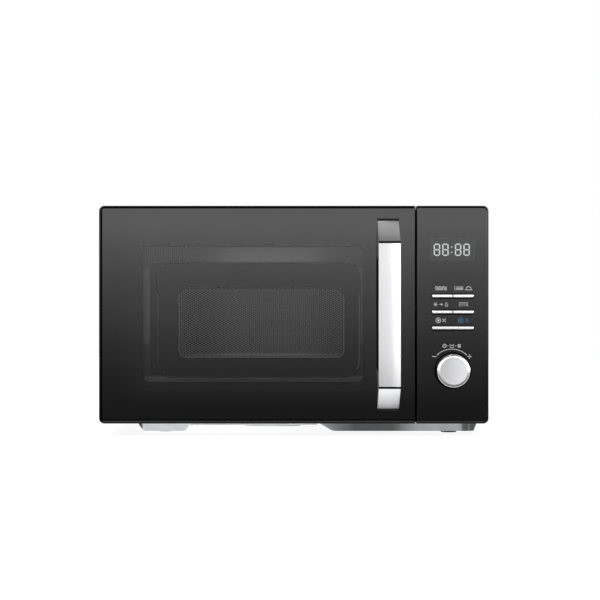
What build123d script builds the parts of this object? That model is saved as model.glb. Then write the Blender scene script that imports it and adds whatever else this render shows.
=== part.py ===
from build123d import *
from math import cos, radians, sin
import os

# A benchtop microwave oven with a grill, as separate pieces in one frame. X runs to the right seen from
# the front, Y into the oven and Z up. The origin is on the worktop, under the middle of the whole oven.
# All sizes are millimetres.

# Overall sizes
WIDTH = 440.0
FRONT_HEIGHT = 246.0
FOOT_HEIGHT = 14.0
BODY_DEPTH = 340.0
CORNER_RADIUS = 6.0
PANEL_WIDTH = 81.0
SPLIT_GAP = 2.0

# Fits shared by many pieces
RUNNING_FIT = 0.05
PRESS_SEAT = 0.02
SLIDING_GAP = 0.35
SHEET_GAP = 0.3
BODY_GAP = 0.3

# Door frame and glass, also used by the control panel beside it
DOOR_THICKNESS = 36.0
FRAME_WALL = 2.5
DOOR_WEB = 7.0
GLASS_THICKNESS = 4.0
GLASS_CHAMFER = 1.2
PANEL_CHAMFER = 0.7
SPLIT_CHAMFER = 0.35
RIM_WIDTH = 1.8
RIM_SETBACK = 0.5
GLASS_FIT = 0.1

# Pressed and perforated steel screen behind the door glass
SCREEN_SHEET = 1.0
SCREEN_WIDTH = 253.0
SCREEN_HEIGHT = 156.0
SCREEN_SHIFT = 2.3
SCREEN_RADIUS = 8.0
LAND_WIDTH = 230.0
LAND_HEIGHT = 130.0
LAND_SHIFT_X = 5.0
LAND_DROP = 6.5
LAND_RADIUS = 18.0
LAND_RISE = 6.0
SIGHT_WIDTH = 187.0
SIGHT_HEIGHT = 78.0
SIGHT_SHIFT_X = 7.7
SIGHT_DROP = 9.0
SIGHT_RADIUS = 8.0
SIGHT_DEPTH = 4.5
SIGHT_SLOPE = 4.5
SIGHT_HOLE_RADIUS = 2.2
SIGHT_HOLE_PITCH = 7.0
WINDOW_MARGIN = 3.0

# Choke round the door's back, its cover and the inner pane
CHOKE_OVERLAP = 13.0
CHOKE_TOOTH_PITCH = 22.0
CHOKE_SLOT_WIDTH = 3.0
CHOKE_SLOT_DEPTH = 10.0
COVER_THICKNESS = 3.0
COVER_GAP = 0.4
COVER_CHAMFER = 2.6
PANE_THICKNESS = 1.0
PANE_LAP = 6.0

# Hinges
HINGE_INSET = 9.0
HINGE_DEPTH = 22.0
PIN_RADIUS = 2.5
PIN_TAIL = 2.0
PIN_SINK = 1.5
BOSS_RADIUS = 5.0
BOSS_HEIGHT = 2.5
ARM_THICKNESS = 2.5
ARM_WIDTH = 9.0
ARM_CLEARANCE = 1.0
ARM_SWEEP = 10.0
BRACKET_FLANGE = 22.0
BRACKET_SHEET = 2.5

# Handle: a bridge with sloped ends and a grip on its face
HANDLE_STANDOFF = 36.0
HANDLE_LENGTH = 212.0
HANDLE_WIDTH = 24.5
HANDLE_INSET = 30.5
HANDLE_PAD_THICKNESS = 1.2
HANDLE_PAD_MARGIN = 2.6
GRIP_LENGTH = 159.0
GRIP_THICKNESS = 7.0
GRIP_EDGE = 1.8
GRIP_END_GAP = 2.6
SPINE_THICKNESS = 5.0
FINGER_LENGTH = 134.0
FINGER_DRAFT = 6.0
BRIDGE_EDGE = 1.2
HANDLE_SCREW_RADIUS = 2.0
HANDLE_SCREW_HEAD = 4.0
HANDLE_SCREW_HEAD_HEIGHT = 3.0
HANDLE_SCREW_REACH = 12.0
HANDLE_SCREW_INSET = 22.0

# Latch bar with its two hooks, guides and spring
LATCH_INSET = 11.0
LATCH_THICKNESS = 3.0
LATCH_BAR_DEPTH = 12.0
LATCH_BAR_LENGTH = 146.0
HOOK_SPREAD = 60.0
HOOK_HEIGHT = 10.0
HOOK_REACH = 14.0
HOOK_BARB = 3.0
HOOK_BARB_LENGTH = 7.0
LATCH_LIFT = 5.0
HOOK_SLOT_GAP = 1.6
GUIDE_RIB = 2.0
GUIDE_DEPTH = 8.0
GUIDE_LENGTH = 30.0
GUIDE_SPREAD = 35.0
SPRING_RADIUS = 3.0
SPRING_WIRE = 0.5
SPRING_LENGTH = 24.0
SPRING_PITCH = 2.4
SPRING_SHELF = 2.5

# Sheet metal body
CASE_INSET = 2.5
CASE_SHEET = 0.8
CASE_BEND = 4.0
CASE_LIP = 11.0
SEAL_GAP = 0.8
PLATE_SHEET = 1.0
REAR_SHEET = 0.8
BASE_SHEET = 1.0
VENT_WIDTH = 3.0
VENT_HEIGHT = 26.0
VENT_PITCH = 8.0
SIDE_VENT_COUNT = 12
REAR_VENT_COUNT = 9
REAR_VENT_ROWS = 2
REAR_VENT_PITCH = 34.0
SIDE_VENT_DROP = 62.0
REAR_EDGE_MARGIN = 40.0

# Base plate pressings and foot pads
PAD_HEIGHT = 2.0
PAD_RADIUS = 9.0
TUB_DEPTH = 10.0
TUB_SLOPE = 6.0
TUB_RADIUS = 9.0
FOOT_TUB_WIDTH = 62.0
FOOT_TUB_LENGTH = 56.0
FOOT_TUB_INSET = 38.5
BAY_TUB_WIDTH = 185.0
BAY_TUB_SLOPE = 10.0
BAY_TUB_LEAN = 7.0
BAY_TUB_INSET = 8.0
TUB_SETBACK = 4.0
RIB_TUB_WIDTH = 73.0
RIB_TUB_GAP = 58.0
RIB_TUB_LENGTH = 40.0
RIB_TUB_DEPTH = 4.5
RIB_TUB_SLOPE = 4.0
FOOT_PAD_SETBACK = 36.0
BAY_PAD_SETBACK = 20.0
BAY_PAD_INSET = 40.0
PLATE_EDGE = 2.0
HEM_DEPTH = 2.4

# Oven cavity
CAVITY_LEFT = 26.0
CAVITY_RISE = 28.0
CAVITY_WIDTH = 300.0
CAVITY_HEIGHT = 190.0
CAVITY_DEPTH = 288.0
CAVITY_RADIUS = 9.0
CAVITY_SHEET = 0.8
WALL_HOLE_RADIUS = 2.0
WALL_HOLE_PITCH = 8.0
WALL_HOLE_ROWS = 4
EXHAUST_HOLE_COLUMNS = 8
LAMP_HOLE_COLUMNS = 4
GRILL_SLOT_WIDTH = 6.0
GRILL_SLOT_PITCH = 14.0
GRILL_SLOT_COUNT = 13
GRILL_SLOT_MARGIN = 9.0

# Turntable
TRAY_RADIUS = 127.0
TRAY_THICKNESS = 5.0
TRAY_RIM_WIDTH = 12.0
TRAY_RIM_HEIGHT = 11.0
TRAY_LUG_RADIUS = 3.0
TRAY_LUG_HEIGHT = 4.0
TRAY_LUG_CIRCLE = 17.0
COUPLER_ARM_LENGTH = 24.0
COUPLER_ARM_WIDTH = 9.0
COUPLER_ARM_HEIGHT = 6.5
COUPLER_HUB_RADIUS = 9.0
COUPLER_LIFT = 2.0
COUPLER_ARM_COUNT = 3
COUPLER_STEM_RADIUS = 4.0
COUPLER_STEM_DEPTH = 10.0
STEM_HOLE_RADIUS = 6.0
ROLLER_RADIUS = 7.0
ROLLER_WIDTH = 7.0
ROLLER_TRACK_INSET = 33.0
ROLLER_COUNT = 3
ROLLER_BORE = 1.6
RING_WIDTH = 6.0
RING_HEIGHT = 5.0
RING_GAP = 3.0
PIN_CAP_RADIUS = 2.6
PIN_CAP_WIDTH = 1.5
TRAY_MOTOR_RADIUS = 24.0
TRAY_MOTOR_HEIGHT = 16.0
TRAY_MOTOR_EAR = 5.0

# Control panel
PANEL_WEB = 3.0
BOARD_DEPTH = 20.0
BOARD_THICKNESS = 1.6
BOARD_MARGIN = 7.0
BOARD_BOTTOM = 36.0
BOARD_TOP = 24.0
POST_RADIUS = 3.0
POST_INSET = 5.0
DISPLAY_WIDTH = 54.0
DISPLAY_HEIGHT = 27.0
DISPLAY_RISE = 197.0
DISPLAY_GAP = 0.6
BUTTON_TOP_RISE = 144.3
BUTTON_PITCH = 18.0
BUTTON_ROW_COUNT = 3
BUTTON_SPAN = 47.5
BUTTON_HEIGHT = 3.7
BUTTON_PROUD = 2.2
BUTTON_EDGE = 0.8
BUTTON_END_RADIUS = 1.6
BUTTON_SPLIT = 0.8
BAR_SLOT_GAP = 0.9
BUTTON_TRAVEL = 1.2
FLANGE_THICKNESS = 1.2
FLANGE_LIP = 1.5
KEY_HEIGHT = 5.0
KEY_SIZE = 6.0
STEM_RADIUS = 1.4
ROCKER_FLANGE_GAP = 1.3
ROCKER_AXIS_DEPTH = 4.0
ROCKER_PIN_RADIUS = 1.2
ROCKER_RIB_WIDTH = 5.0
ROCKER_STEM_SPREAD = 16.0
ROCKER_STEM_GAP = 1.6
EAR_THICKNESS = 2.0
EAR_WIDTH = 8.0
EAR_REACH = 2.5

# Dial and its encoder
DIAL_RISE = 60.0
DIAL_RADIUS = 18.5
DIAL_LENGTH = 13.0
DIAL_EDGE = 2.0
DIAL_GAP = 0.6
DIAL_WALL = 2.5
DIAL_CAP = 4.0
DIAL_HUB_RADIUS = 6.0
BEZEL_WIDTH = 1.9
BEZEL_PROUD = 1.0
BEZEL_GAP = 0.5
BEZEL_EDGE = 0.6
SHAFT_RADIUS = 3.0
SHAFT_SINK = 4.0
SHAFT_HOLE_GAP = 1.5
ENCODER_SIZE = 12.0
ENCODER_HEIGHT = 6.5
BUSHING_RADIUS = 4.2
BUSHING_LENGTH = 4.0

# Interlock
LATCH_BOARD_GAP = 3.5
LATCH_BOARD_SHEET = 2.5
LATCH_BOARD_DEPTH = 52.0
LATCH_BOARD_HEIGHT = 168.0
SWITCH_WIDTH = 10.0
SWITCH_LENGTH = 16.0
SWITCH_HEIGHT = 26.0
PLUNGER_RADIUS = 1.6
PLUNGER_PROUD = 2.0
PLUNGER_SINK = 3.0
PLUNGER_TRAVEL = 1.2
PLUNGER_GAP = 0.4

# Waveguide and magnetron
GUIDE_SHEET = 1.0
WAVEGUIDE_DEPTH = 30.0
WAVEGUIDE_WIDTH = 84.0
WAVEGUIDE_HEIGHT = 112.0
WAVEGUIDE_DROP = 22.0
WAVEGUIDE_FORWARD = 5.0
PORT_HEIGHT = 42.0
PORT_INSET = 8.0
MICA_THICKNESS = 0.8
MICA_LAP = 6.0
ANTENNA_RADIUS = 7.5
ANTENNA_LENGTH = 18.0
ANTENNA_GAP = 1.0
ANTENNA_DROP = 34.0
YOKE_LENGTH = 50.0
YOKE_WIDTH = 72.0
YOKE_HEIGHT = 62.0
YOKE_SHEET = 1.6
FIN_COUNT = 5
FIN_THICKNESS = 0.8
ANODE_RADIUS = 17.0
FILTER_BOX_LENGTH = 22.0
FILTER_BOX_SIZE = 44.0

# Power supply
CORE_WIDTH = 84.0
CORE_LENGTH = 54.0
CORE_HEIGHT = 68.0
CORE_LEG = 28.0
CORE_YOKE = 14.0
COIL_BUILD = 12.0
COIL_SPLIT = 4.0
COIL_FIT = 0.2
CORE_SETBACK = 112.0
CORE_INSET = 12.0
CAPACITOR_WIDTH = 34.0
CAPACITOR_LENGTH = 52.0
CAPACITOR_HEIGHT = 82.0
CAPACITOR_INSET = 16.0
CAPACITOR_FORWARD = 78.0
TERMINAL_WIDTH = 6.3
TERMINAL_THICKNESS = 0.8
TERMINAL_HEIGHT = 9.0
TERMINAL_SPREAD = 12.0
FILTER_BOARD_WIDTH = 30.0
FILTER_BOARD_LENGTH = 90.0
FILTER_BOARD_THICKNESS = 1.6
FILTER_STANDOFF = 5.0
FILTER_COIL_RADIUS = 8.0
FILTER_COIL_HEIGHT = 10.0
FILTER_BOARD_INSET = 4.0

# Fan
FAN_RADIUS = 42.0
FAN_TIP_GAP = 3.0
FAN_HUB_RADIUS = 11.0
FAN_HUB_LENGTH = 16.0
FAN_BLADE_COUNT = 5
FAN_BLADE_WIDTH = 26.0
FAN_BLADE_THICKNESS = 1.6
FAN_BLADE_TWIST = 28.0
FAN_SHAFT_RADIUS = 2.5
FAN_SHAFT_SINK = 12.0
FAN_SPIDER_GAP = 3.0
SHROUD_WALL = 4.0
SHROUD_DEPTH = 28.0
SPIDER_THICKNESS = 3.0
SPIDER_WIDTH = 12.0
SPIDER_HOLE_GAP = 1.5
FAN_MOTOR_LENGTH = 30.0
FAN_MOTOR_SIZE = 44.0
FAN_CLEARANCE = 11.0
FAN_DROP = 30.0

# Grill, lamp and small fittings
REFLECTOR_HEIGHT = 19.0
REFLECTOR_SHEET = 0.8
REFLECTOR_MARGIN = 8.0
REFLECTOR_LIP = 6.0
TUBE_RADIUS = 5.0
TUBE_SPREAD = 26.0
TUBE_FIT = 0.15
TUBE_CAP_RADIUS = 6.5
TUBE_CAP_LENGTH = 9.0
LAMP_BASE_SIZE = 26.0
LAMP_BASE_LENGTH = 8.0
LAMP_BULB_RADIUS = 9.0
LAMP_BULB_LENGTH = 22.0
LAMP_DROP = 20.0
LAMP_BACK = 74.0
GLAND_PROUD = 6.0
GLAND_RADIUS = 8.0
GLAND_BORE = 3.75
GLAND_FLANGE = 3.5
GLAND_NUT = 3.0
GLAND_RISE = 52.0
GLAND_INSET = 60.0
CASE_SCREW_RADIUS = 1.9
CASE_SCREW_HEAD = 4.2
CASE_SCREW_HEAD_HEIGHT = 2.2
CASE_SCREW_LENGTH = 9.0
CASE_SCREW_FIT = 0.1
CASE_SCREW_SPREAD = 0.36

BACKWARD = (0, 1, 0)
OVERCUT = 1.0

os.makedirs("parts", exist_ok=True)

# Places worked out from the sizes above
x_right = WIDTH / 2
x_left = -x_right
z_low = FOOT_HEIGHT
z_high = FOOT_HEIGHT + FRONT_HEIGHT
z_mid = (z_low + z_high) / 2
y_face = HANDLE_STANDOFF - (HANDLE_STANDOFF + BODY_DEPTH + GLAND_PROUD) / 2
y_rear = y_face + BODY_DEPTH

x_panel_left = x_right - PANEL_WIDTH
x_panel_mid = x_right - PANEL_WIDTH / 2
x_door_right = x_panel_left - SPLIT_GAP
y_glass = y_face + GLASS_THICKNESS
y_web = y_glass + DOOR_WEB
y_door = y_face + DOOR_THICKNESS
y_cover = y_door - COVER_THICKNESS
y_frame = y_cover
y_plate = y_door + SEAL_GAP
y_cavity = y_plate + PLATE_SHEET
y_cavity_end = y_cavity + CAVITY_DEPTH

x_case = x_right - CASE_INSET
x_case_in = x_case - CASE_SHEET
x_inner = x_case_in - SHEET_GAP
z_case = z_high - CASE_INSET
z_case_in = z_case - CASE_SHEET
z_inner = z_case_in - SHEET_GAP
z_base = PAD_HEIGHT + TUB_DEPTH
z_base_top = z_base + BASE_SHEET
y_lip = y_rear - CASE_SHEET
y_rear_in = y_lip - REAR_SHEET

x_oven_left = x_left + CAVITY_LEFT
x_oven_right = x_oven_left + CAVITY_WIDTH
x_oven = (x_oven_left + x_oven_right) / 2
z_floor = z_low + CAVITY_RISE
z_ceiling = z_floor + CAVITY_HEIGHT
z_oven = (z_floor + z_ceiling) / 2
y_oven = y_cavity + CAVITY_DEPTH / 2
x_wall = x_oven_right + CAVITY_SHEET
z_roof = z_ceiling + CAVITY_SHEET
z_under = z_floor - CAVITY_SHEET


def front_plane(y):
    """The upright plane at depth y, with sketch x along X and sketch y along Z."""
    return Plane.XZ.offset(-y)


def block(x, y, z, mode=Mode.ADD):
    """A box between the low and high limits given along each axis."""
    with Locations(((x[0] + x[1]) / 2, (y[0] + y[1]) / 2, (z[0] + z[1]) / 2)):
        Box(x[1] - x[0], y[1] - y[0], z[1] - z[0], mode=mode)


def around(centre, size):
    """The low and high limits of a length set evenly about its centre."""
    return (centre - size / 2, centre + size / 2)


def rod_x(y, z, radius, x, mode=Mode.ADD):
    """A round bar along X between two limits."""
    with Locations(((x[0] + x[1]) / 2, y, z)):
        Cylinder(radius, x[1] - x[0], rotation=(0, 90, 0), mode=mode)


def rod_y(x, z, radius, y, mode=Mode.ADD):
    """A round bar along Y between two limits."""
    with Locations((x, (y[0] + y[1]) / 2, z)):
        Cylinder(radius, y[1] - y[0], rotation=(90, 0, 0), mode=mode)


def rod_z(x, y, radius, z, mode=Mode.ADD):
    """A round bar along Z between two limits."""
    with Locations((x, y, (z[0] + z[1]) / 2)):
        Cylinder(radius, z[1] - z[0], mode=mode)


def front_slab(x, inset, square_inset, rounded, y, mode=Mode.ADD):
    """A slab as tall as the front, with the corners of one side rounded: -1 for left, 1 for right.
    The other side is square, and it has an inset of its own."""
    width = x[1] - x[0] - inset - square_inset
    height = FRONT_HEIGHT - 2 * inset
    middle = (x[0] + x[1] - rounded * (inset - square_inset)) / 2
    with BuildSketch(front_plane(y[0])) as outline:
        with Locations((middle, z_mid)):
            RectangleRounded(width, height, CORNER_RADIUS - inset)
        with Locations((middle - rounded * width / 4, z_mid)):
            Rectangle(width / 2, height)
    extrude(outline.sketch, amount=y[1] - y[0], dir=BACKWARD, mode=mode)


def inner_sheet(y):
    """A flat sheet that fills the inside of the outer case, with two rounded top corners."""
    with BuildSketch(front_plane(y[0])) as outline:
        with Locations((0, (z_base_top + z_inner) / 2)):
            RectangleRounded(2 * x_inner, z_inner - z_base_top, CASE_BEND)
        with Locations((0, z_base_top + CASE_BEND)):
            Rectangle(2 * x_inner, 2 * CASE_BEND)
    extrude(outline.sketch, amount=y[1] - y[0], dir=BACKWARD)


def front_frustum(near, far, mode=Mode.ADD):
    """A taper along Y between two rounded rectangles, each (y, x, z, width, height, radius)."""
    with BuildSketch(front_plane(near[0])) as first:
        with Locations((near[1], near[2])):
            RectangleRounded(near[3], near[4], near[5])
    with BuildSketch(front_plane(far[0])) as second:
        with Locations((far[1], far[2])):
            RectangleRounded(far[3], far[4], far[5])
    loft([first.sketch.face(), second.sketch.face()], ruled=True, mode=mode)


def down_frustum(x, y, z, top, bottom, radius, shift=0.0, mode=Mode.ADD):
    """A taper along Z from z[1] down to z[0], between top and bottom sizes (width, length)."""
    with BuildSketch(Plane.XY.offset(z[1])) as first:
        with Locations((x, y)):
            RectangleRounded(top[0], top[1], radius)
    with BuildSketch(Plane.XY.offset(z[0])) as second:
        with Locations((x + shift, y)):
            RectangleRounded(bottom[0], bottom[1], radius)
    loft([first.sketch.face(), second.sketch.face()], ruled=True, mode=mode)


def finish(piece, name):
    """Labels a finished piece and writes it to its own file."""
    piece.part.label = name
    export_step(piece.part, f"parts/{name}.step")


# Base plate: zinc-coated sheet with two pressed feet at the left, a wide pressed bay at the right
# that carries the power supply, and a shallow stiffening rib behind a hem at the front edge.
y_base = (y_cavity, y_rear_in)
foot_x = x_left + FOOT_TUB_INSET + FOOT_TUB_WIDTH / 2
foot_front_y = y_base[0] + TUB_SETBACK + FOOT_TUB_LENGTH / 2
foot_rear_y = y_base[1] - TUB_SETBACK - FOOT_TUB_LENGTH / 2
bay_x = x_right - BAY_TUB_INSET - BAY_TUB_WIDTH / 2
bay_y = (y_base[0] + y_base[1]) / 2
bay_length = y_base[1] - y_base[0] - 2 * TUB_SETBACK
rib_x = foot_x + FOOT_TUB_WIDTH / 2 + RIB_TUB_GAP + RIB_TUB_WIDTH / 2
rib_y = y_base[0] + TUB_SETBACK + RIB_TUB_LENGTH / 2
tubs = [
    (foot_x, foot_front_y, FOOT_TUB_WIDTH, FOOT_TUB_LENGTH, TUB_DEPTH, TUB_SLOPE, 0.0),
    (foot_x, foot_rear_y, FOOT_TUB_WIDTH, FOOT_TUB_LENGTH, TUB_DEPTH, TUB_SLOPE, 0.0),
    (bay_x, bay_y, BAY_TUB_WIDTH, bay_length, TUB_DEPTH, BAY_TUB_SLOPE, BAY_TUB_LEAN),
    (rib_x, rib_y, RIB_TUB_WIDTH, RIB_TUB_LENGTH, RIB_TUB_DEPTH, RIB_TUB_SLOPE, 0.0),
]
hem_x = (foot_x + FOOT_TUB_WIDTH / 2, bay_x - BAY_TUB_WIDTH / 2)
with BuildPart() as base_plate:
    block((-x_inner, x_inner), y_base, (z_base, z_base_top))
    block(hem_x, (y_base[0], y_base[0] + BASE_SHEET), (z_base - HEM_DEPTH, z_base))
    for tub_x, tub_y, width, length, depth, slope, shift in tubs:
        bottom = (width - 2 * slope, length - 2 * TUB_SLOPE)
        down_frustum(tub_x, tub_y, (z_base - depth, z_base), (width, length), bottom, TUB_RADIUS, shift)
    for tub_x, tub_y, width, length, depth, slope, shift in tubs:
        top = (width - 2 * BASE_SHEET, length - 2 * BASE_SHEET)
        bottom = (top[0] - 2 * slope, top[1] - 2 * TUB_SLOPE)
        hollow = (z_base_top - depth, z_base_top)
        down_frustum(tub_x, tub_y, hollow, top, bottom, TUB_RADIUS - BASE_SHEET, shift, mode=Mode.SUBTRACT)
finish(base_plate, "base_plate")

# Foot pads: rubber discs under the pressed feet and the bay.
bay_pad_x = x_right - BAY_PAD_INSET
with BuildPart() as foot_pads:
    for pad_x, pad_setback in ((foot_x, FOOT_PAD_SETBACK), (bay_pad_x, BAY_PAD_SETBACK)):
        for pad_y in (y_base[0] + TUB_SETBACK + pad_setback, y_base[1] - TUB_SETBACK - pad_setback):
            rod_z(pad_x, pad_y, PAD_RADIUS, (0, PAD_HEIGHT))
finish(foot_pads, "foot_pads")

# Oven cavity: a welded sheet box, open at the front, with the ports, vents and slots that it needs.
guide_y = y_oven - WAVEGUIDE_FORWARD
guide_z = (z_ceiling - WAVEGUIDE_DROP - WAVEGUIDE_HEIGHT, z_ceiling - WAVEGUIDE_DROP)
port_y = around(guide_y, WAVEGUIDE_WIDTH - 2 * PORT_INSET)
port_z = (guide_z[0] + PORT_INSET, guide_z[0] + PORT_INSET + PORT_HEIGHT)
lamp_y = y_oven + LAMP_BACK
lamp_z = z_ceiling - LAMP_DROP
exhaust_y = y_cavity_end - REAR_EDGE_MARGIN - EXHAUST_HOLE_COLUMNS * WALL_HOLE_PITCH / 2
grill_half = (GRILL_SLOT_COUNT - 1) * GRILL_SLOT_PITCH / 2 + GRILL_SLOT_WIDTH / 2
grill_slot_length = 2 * (TUBE_SPREAD + TUBE_CAP_RADIUS + GRILL_SLOT_MARGIN)
with BuildPart() as cavity_shell:
    with BuildSketch(front_plane(y_cavity)):
        with Locations((x_oven, z_oven)):
            outer_radius = CAVITY_RADIUS + CAVITY_SHEET
            RectangleRounded(CAVITY_WIDTH + 2 * CAVITY_SHEET, CAVITY_HEIGHT + 2 * CAVITY_SHEET, outer_radius)
    extrude(amount=CAVITY_DEPTH + CAVITY_SHEET, dir=BACKWARD)
    with BuildSketch(front_plane(y_cavity)):
        with Locations((x_oven, z_oven)):
            RectangleRounded(CAVITY_WIDTH, CAVITY_HEIGHT, CAVITY_RADIUS)
    extrude(amount=CAVITY_DEPTH, dir=BACKWARD, mode=Mode.SUBTRACT)
    block((x_oven_right - OVERCUT, x_wall + OVERCUT), port_y, port_z, mode=Mode.SUBTRACT)
    rod_z(x_oven, y_oven, STEM_HOLE_RADIUS, (z_under - OVERCUT, z_floor + OVERCUT), mode=Mode.SUBTRACT)
    with BuildSketch(Plane.YZ.offset(x_oven_right - OVERCUT)):
        with Locations((lamp_y, lamp_z)):
            with GridLocations(WALL_HOLE_PITCH, WALL_HOLE_PITCH, LAMP_HOLE_COLUMNS, LAMP_HOLE_COLUMNS):
                Circle(WALL_HOLE_RADIUS)
    extrude(amount=CAVITY_SHEET + 2 * OVERCUT, mode=Mode.SUBTRACT)
    with BuildSketch(Plane.YZ.offset(x_oven_left - CAVITY_SHEET - OVERCUT)):
        with Locations((exhaust_y, lamp_z)):
            with GridLocations(WALL_HOLE_PITCH, WALL_HOLE_PITCH, EXHAUST_HOLE_COLUMNS, WALL_HOLE_ROWS):
                Circle(WALL_HOLE_RADIUS)
    extrude(amount=CAVITY_SHEET + 2 * OVERCUT, mode=Mode.SUBTRACT)
    with BuildSketch(Plane.XY.offset(z_ceiling - OVERCUT)):
        with Locations((x_oven, y_oven)):
            with GridLocations(GRILL_SLOT_PITCH, grill_slot_length, GRILL_SLOT_COUNT, 1):
                SlotOverall(grill_slot_length, GRILL_SLOT_WIDTH, rotation=90)
    extrude(amount=CAVITY_SHEET + 2 * OVERCUT, mode=Mode.SUBTRACT)
finish(cavity_shell, "cavity_shell")

# Cavity front plate: enamelled sheet welded to the cavity's mouth, which the door closes against.
# It has slots for the latch hooks and hinge arms, and a window for the panel's harness.
x_latch = (x_door_right - LATCH_INSET, x_door_right - LATCH_INSET + LATCH_THICKNESS)
x_latch_mid = (x_latch[0] + x_latch[1]) / 2
hook_heights = (z_mid - HOOK_SPREAD, z_mid + HOOK_SPREAD)
x_hinge = x_left + HINGE_INSET
y_hinge = y_face + HINGE_DEPTH
arm_x = around(x_hinge, ARM_WIDTH)
upper_arm_top = z_high - FRAME_WALL - BOSS_HEIGHT
upper_arm_z = (upper_arm_top - ARM_THICKNESS, upper_arm_top)
lower_arm_bottom = z_low + FRAME_WALL + BOSS_HEIGHT
lower_arm_z = (lower_arm_bottom, lower_arm_bottom + ARM_THICKNESS)
plate_y = (y_plate, y_cavity)
harness_x = (x_panel_left + BOARD_MARGIN + POST_RADIUS, x_right - BOARD_MARGIN - POST_RADIUS)
harness_z = (z_low + BOARD_BOTTOM, z_mid)
with BuildPart() as cavity_front_plate:
    inner_sheet(plate_y)
    with BuildSketch(front_plane(y_plate)):
        with Locations((x_oven, z_oven)):
            RectangleRounded(CAVITY_WIDTH, CAVITY_HEIGHT, CAVITY_RADIUS)
    extrude(amount=PLATE_SHEET, dir=BACKWARD, mode=Mode.SUBTRACT)
    for hook_z in hook_heights:
        slot_x = (x_latch[0] - HOOK_SLOT_GAP, x_latch[1] + HOOK_SLOT_GAP)
        slot_low = hook_z - HOOK_HEIGHT / 2 - HOOK_BARB - HOOK_SLOT_GAP
        slot_high = hook_z + HOOK_HEIGHT / 2 + LATCH_LIFT + HOOK_SLOT_GAP
        block(slot_x, plate_y, (slot_low, slot_high), mode=Mode.SUBTRACT)
    for arm_z in (upper_arm_z, lower_arm_z):
        slot_x = (arm_x[0] - SHEET_GAP, arm_x[1] + SHEET_GAP)
        block(slot_x, plate_y, (arm_z[0] - SHEET_GAP, arm_z[1] + SHEET_GAP), mode=Mode.SUBTRACT)
    block(harness_x, plate_y, harness_z, mode=Mode.SUBTRACT)
finish(cavity_front_plate, "cavity_front_plate")

# Hinge brackets: steel angles behind the front plate, whose arms reach forward into the door.
for bracket_name, arm_z, flange_side in (
    ("upper_hinge_bracket", upper_arm_z, -1),
    ("lower_hinge_bracket", lower_arm_z, 1),
):
    flange_end = (arm_z[0] + arm_z[1]) / 2 + flange_side * BRACKET_FLANGE
    flange_z = (min(flange_end, arm_z[0]), max(flange_end, arm_z[1]))
    with BuildPart() as bracket:
        block(arm_x, (y_hinge, y_cavity + BRACKET_SHEET), arm_z)
        rod_z(x_hinge, y_hinge, ARM_WIDTH / 2, arm_z)
        block(arm_x, (y_cavity, y_cavity + BRACKET_SHEET), flange_z)
        rod_z(x_hinge, y_hinge, PIN_RADIUS + RUNNING_FIT, arm_z, mode=Mode.SUBTRACT)
    finish(bracket, bracket_name)

# Outer case: one folded sheet over the top and both sides, with a lip at the rear and side vents.
case_y = (y_plate, y_rear)
vent_span = (SIDE_VENT_COUNT - 1) * VENT_PITCH
side_vent_z = z_high - SIDE_VENT_DROP
side_vent_y = y_rear - REAR_EDGE_MARGIN - vent_span / 2
screw_x = x_case_in - CASE_LIP / 2
screw_z = z_case_in - CASE_LIP / 2
screw_side_z = (z_mid - CASE_SCREW_SPREAD * FRONT_HEIGHT, z_mid)
screw_places = [(side * screw_x, height) for side in (-1, 1) for height in screw_side_z]
screw_places += [(side * CASE_SCREW_SPREAD * WIDTH, screw_z) for side in (-1, 1)]
with BuildPart() as outer_case:
    with BuildSketch(front_plane(case_y[0])):
        with Locations((0, (z_base + z_case) / 2)):
            RectangleRounded(2 * x_case, z_case - z_base, CASE_BEND)
        with Locations((0, z_base + CASE_BEND)):
            Rectangle(2 * x_case, 2 * CASE_BEND)
    extrude(amount=case_y[1] - case_y[0], dir=BACKWARD)
    with BuildSketch(front_plane(case_y[0])):
        with Locations((0, (z_base + z_case_in) / 2)):
            RectangleRounded(2 * x_case_in, z_case_in - z_base, CASE_BEND - CASE_SHEET)
        with Locations((0, z_base + CASE_BEND - OVERCUT)):
            Rectangle(2 * x_case_in, 2 * CASE_BEND)
    extrude(amount=y_lip - case_y[0], dir=BACKWARD, mode=Mode.SUBTRACT)
    lip_x = (-x_case_in + CASE_LIP, x_case_in - CASE_LIP)
    lip_y = (y_lip - OVERCUT, y_rear + OVERCUT)
    block(lip_x, lip_y, (z_base - OVERCUT, z_case_in - CASE_LIP), mode=Mode.SUBTRACT)
    block((-x_case_in, x_case_in), lip_y, (z_base - OVERCUT, z_base_top), mode=Mode.SUBTRACT)
    with BuildSketch(Plane.YZ.offset(-x_case - OVERCUT)):
        with Locations((side_vent_y, side_vent_z)):
            with GridLocations(VENT_PITCH, VENT_HEIGHT, SIDE_VENT_COUNT, 1):
                SlotOverall(VENT_HEIGHT, VENT_WIDTH, rotation=90)
    extrude(amount=2 * x_case + 2 * OVERCUT, mode=Mode.SUBTRACT)
    for place_x, place_z in screw_places:
        screw_hole = CASE_SCREW_RADIUS + CASE_SCREW_FIT
        rod_y(place_x, place_z, screw_hole, (y_lip - OVERCUT, y_rear + OVERCUT), mode=Mode.SUBTRACT)
finish(outer_case, "outer_case")

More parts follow.
